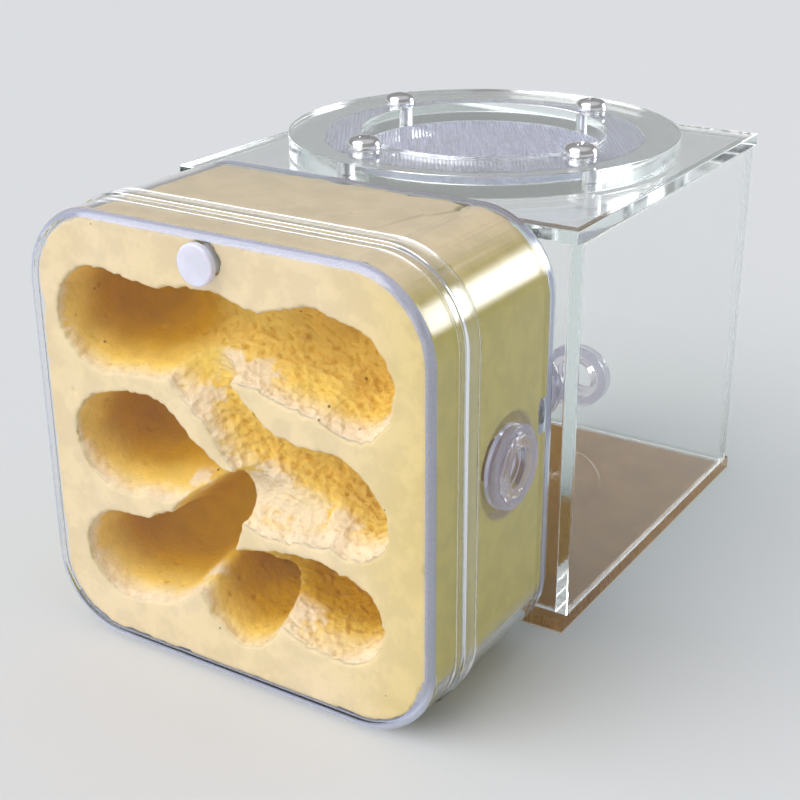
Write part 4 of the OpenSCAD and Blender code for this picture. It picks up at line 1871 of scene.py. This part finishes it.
@dataclass
class VentedLid:
    """The lift-off lid: a clear plate, wire cloth over its hole, and the ring and screws that hold it."""

    finishes: Finishes
    sheets: SheetBuilder = field(default_factory=SheetBuilder)
    cloth: WireCloth = field(default_factory=WireCloth)
    screw: PanScrew = field(default_factory=PanScrew)
    hole: float = 60.0
    screw_hole: float = 4.16
    ring_screw_hole: float = 4.4
    screw_circle: float = 71.0
    first_screw: float = -22.0
    screws: int = 4
    turns: tuple[float, ...] = (12.0, 58.0, 31.0, 74.0)

    def __post_init__(self) -> None:
        """Finds the vent's middle and the screws' places."""
        self.ring_low, self.ring_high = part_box("vent_ring")
        middle = (self.ring_low + self.ring_high) / 2
        self.middle = Vector((middle.x, middle.y, self.ring_low.z))
        angles = (math.radians(self.first_screw + 360 / self.screws * i) for i in range(self.screws))
        reach = self.screw_circle / 2 * MM
        self.places = [self.middle + Vector((reach * math.cos(a), reach * math.sin(a), 0)) for a in angles]

    def build(self) -> None:
        """Makes every piece of the lid."""
        self._plate()
        self._ring()
        self._cloth()
        self._screws()

    def _frost_holes(self, piece: Object) -> None:
        """Gives the walls of a piece's screw holes their own rougher finish.

        Args:
            piece: The piece.
        """
        def in_hole(face: MeshPolygon) -> bool:
            """Whether a face is part of a screw hole's wall."""
            reach = min((face.center - at).xy.length for at in self.places)
            return reach < self.ring_screw_hole / 2 * MM and abs(face.normal.z) < 0.5

        dress_faces(piece, self.finishes.drilled, in_hole)

    def _plate(self) -> None:
        """Makes the clear plate with the vent's hole and four screw holes."""
        low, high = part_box("lid_panel")
        bottom, top = ((z - self.middle.z) / MM for z in (low.z, high.z))
        wide = [(self.hole, self.middle), *((self.screw_hole, at) for at in self.places)]
        holes = [cylinder(width / 2, bottom - 1, top + 1, at, Facing.UP) for width, at in wide]
        piece = self.sheets.cut("lid_sheet", "lid_panel", self.finishes.sheet[SheetAxis.Z], holes)
        self._frost_holes(piece)
        seat(piece, "lid", Slot.ACRYLIC, "lid_panel")

    def _ring(self) -> None:
        """Makes the clear ring with its four screw holes."""
        outer, inner = (self.ring_high.x - self.ring_low.x) / 2 / MM, self.hole / 2
        top = (self.ring_high.z - self.ring_low.z) / MM
        soft, flat = 0.2, 0.8
        section = [
            *arc((outer - soft, soft), soft, -90, 0, 2),
            *arc((outer - soft, top - soft), soft, 0, 90, 2),
            (outer - flat, top), (inner + flat, top),
            *arc((inner + soft, top - soft), soft, 90, 180, 2),
            *arc((inner + soft, soft), soft, 180, 270, 2),
            (inner + flat, 0), (outer - flat, 0),
        ]
        mesh = lathe(section, self.middle, Facing.UP, 160)
        piece = place("ring_clear", mesh, self.finishes.sheet[SheetAxis.Z])
        drill(piece, [cylinder(self.ring_screw_hole / 2, -1, top + 1, p, Facing.UP) for p in self.places])
        self._frost_holes(piece)
        seat(piece, "lid", Slot.ACRYLIC, "vent_ring")

    def _cloth(self) -> None:
        """Weaves the wire cloth under the ring."""
        low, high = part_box("vent_mesh")
        radius = (high.x - low.x) / 2 / MM
        mesh = self.cloth.mesh((low + high) / 2, radius, self.places, self.ring_screw_hole / 2)
        seat(place("wire_cloth", mesh, self.finishes.wire), "lid", Slot.CLOTH, "vent_mesh")

    def _screws(self) -> None:
        """Makes the four screws as one piece."""
        parts = []
        for at, turn in zip(self.places, self.turns):
            on_ring = Vector((at.x, at.y, self.ring_high.z))
            parts += [self.screw.head(on_ring, turn), self.screw.shaft(on_ring)]
        piece = join_pieces("pan_screws", parts)
        dress(piece, self.finishes.screw)
        seat(piece, "lid", Slot.SCREW, "vent_screws")


# ---------------------------------------------------------------------------------------------
# Studio
# ---------------------------------------------------------------------------------------------


@dataclass(frozen=True)
class Sun:
    """The even main light, by the point that it shines from."""

    name: str
    at: tuple[float, float, float]
    strength: float
    spread: float

    def build(self) -> None:
        """Hangs the light."""
        light = bpy.data.lights.new(self.name, "SUN")
        light.energy = self.strength
        light.angle = math.radians(self.spread)
        lamp = place(self.name, light)
        lamp.rotation_euler = (-Vector(self.at)).to_track_quat("-Z", "Y").to_euler()


@dataclass(frozen=True)
class Lamp:
    """One soft lamp, by where it stands in metres."""

    name: str
    at: tuple[float, float, float]
    size: tuple[float, float]
    watts: float
    colour: Colour = (1.0, 1.0, 1.0)
    aim: tuple[float, float, float] = (0.0, -0.02, 0.05)
    only_mirrored: bool = True

    def build(self) -> None:
        """Hangs the lamp."""
        light = bpy.data.lights.new(self.name, "AREA")
        light.shape = "RECTANGLE"
        light.size, light.size_y = self.size
        light.energy = self.watts
        light.color = self.colour
        self._soften_edges(light)
        lamp = place(self.name, light)
        lamp.location = self.at
        lamp.rotation_euler = (Vector(self.aim) - Vector(self.at)).to_track_quat("-Z", "Y").to_euler()
        lamp.visible_camera = False
        lamp.visible_diffuse = not self.only_mirrored

    @staticmethod
    def _soften_edges(light: AreaLight) -> None:
        """Lets a lamp fade towards its edges, as a cloth-covered softbox does.

        Args:
            light: The lamp's light.
        """
        light.use_nodes = True
        net = NodeNet(light.node_tree)
        level: Any = 1.0
        for across in net.split(net.add("NewGeometry")["Parametric"])[:2]:
            fade = net.times(net.ramp(across, 0.0, 0.4), net.fall(across, 0.6, 1.0))
            level = net.times(fade, level)
        net.feed(net.tree.nodes["Emission"], {"Strength": level})


@dataclass
class Studio:
    """The pale floor, the soft lamps, the sky and the camera."""

    floor_colour: Colour = (0.68, 0.69, 0.71)
    floor_reach: float = 6.0
    sky_colour: Colour = (0.97, 0.985, 1.0)
    sky_light: float = 0.5
    low_wall: float = 0.7
    high_wall: float = 0.34
    ceiling: float = 0.3
    camera_at: tuple[float, float, float] = (0.17653, -0.28448, 0.18081)
    yaw: float = 32.685
    pitch: float = 23.138
    roll: float = -0.29
    lens: float = 66.06
    sensor: float = 36.0
    lamps: tuple[Sun | Lamp, ...] = (
        Sun("key", (-0.42, -0.62, 0.85), 2.0, 60.0),
        Sun("front_fill", (-0.25, -1.0, 0.35), 0.8, 70.0),
        Lamp("back_window", (0.74, 1.0, 0.40), (0.86, 0.66), 26.0, (0.97, 0.98, 1.0)),
    )

    def build(self) -> None:
        """Sets the whole studio up."""
        self._camera()
        self._floor()
        self._sky()
        for lamp in self.lamps:
            lamp.build()
        bpy.context.scene.view_settings.view_transform = "Standard"

    def _camera(self) -> None:
        """Puts the camera at the photograph's viewpoint."""
        yaw, pitch, roll = (math.radians(a) for a in (self.yaw, self.pitch, self.roll))
        forward = Vector((-math.sin(yaw) * math.cos(pitch), math.cos(yaw) * math.cos(pitch),
                          -math.sin(pitch)))
        right = Vector((math.cos(yaw), math.sin(yaw), 0))
        up = right.cross(forward)
        tilted_right = math.cos(roll) * right + math.sin(roll) * up
        tilted_up = math.cos(roll) * up - math.sin(roll) * right
        data = bpy.data.cameras.new("photo_camera")
        data.lens, data.sensor_width = self.lens, self.sensor
        data.clip_start, data.clip_end = 0.01, 50
        camera = place("photo_camera", data)
        camera.matrix_world = (Matrix.Translation(self.camera_at)
                               @ Matrix((tilted_right, tilted_up, -forward)).transposed().to_4x4())
        bpy.context.scene.camera = camera

    def _floor(self) -> None:
        """Lays the floor, which keeps the object's shadow."""
        reach = self.floor_reach
        corners = [(-reach, -reach, 0), (reach, -reach, 0), (reach, reach, 0), (-reach, reach, 0)]
        paint = MattPaint("pale_floor", self.floor_colour).build()
        place("floor", build_mesh("floor", corners, [(0, 1, 2, 3)]), paint)

    def _sky(self) -> None:
        """Lights the scene evenly, and shows clear and shiny pieces a grey room with a pale ceiling."""
        world = bpy.data.worlds.new("studio_sky")
        bpy.context.scene.world = world
        world.use_nodes = True
        net = NodeNet(world.node_tree)
        path = net.add("LightPath")
        seen = net.most(*(path[f"Is {kind} Ray"] for kind in ("Camera", "Glossy", "Transmission")))
        up = net.split(net.add("TexCoord")["Generated"])[2]
        level = net.plus(net.ramp(up, 0.0, 0.2, self.low_wall, self.high_wall),
                         net.ramp(up, 0.6, 0.9, 0.0, self.ceiling))
        shown = net.add("Background", {0: (1.0, 1.0, 1.0), 1: level})[0]
        light = net.add("Background", {0: self.sky_colour, 1: self.sky_light})[0]
        mixed = net.add("MixShader", {0: seen, 1: light, 2: shown})[0]
        net.feed(net.tree.nodes["World Output"], {"Surface": mixed})


def main() -> None:
    """Builds the habitat and its studio."""
    logging.basicConfig(level=logging.INFO, format="%(message)s", force=True)
    finishes = Finishes()
    Studio().build()
    NestBox(finishes).build()
    PlasterBlock(finishes).build()
    ForagingBox(finishes).build()
    VentedLid(finishes).build()


if __name__ == "__main__":
    main()
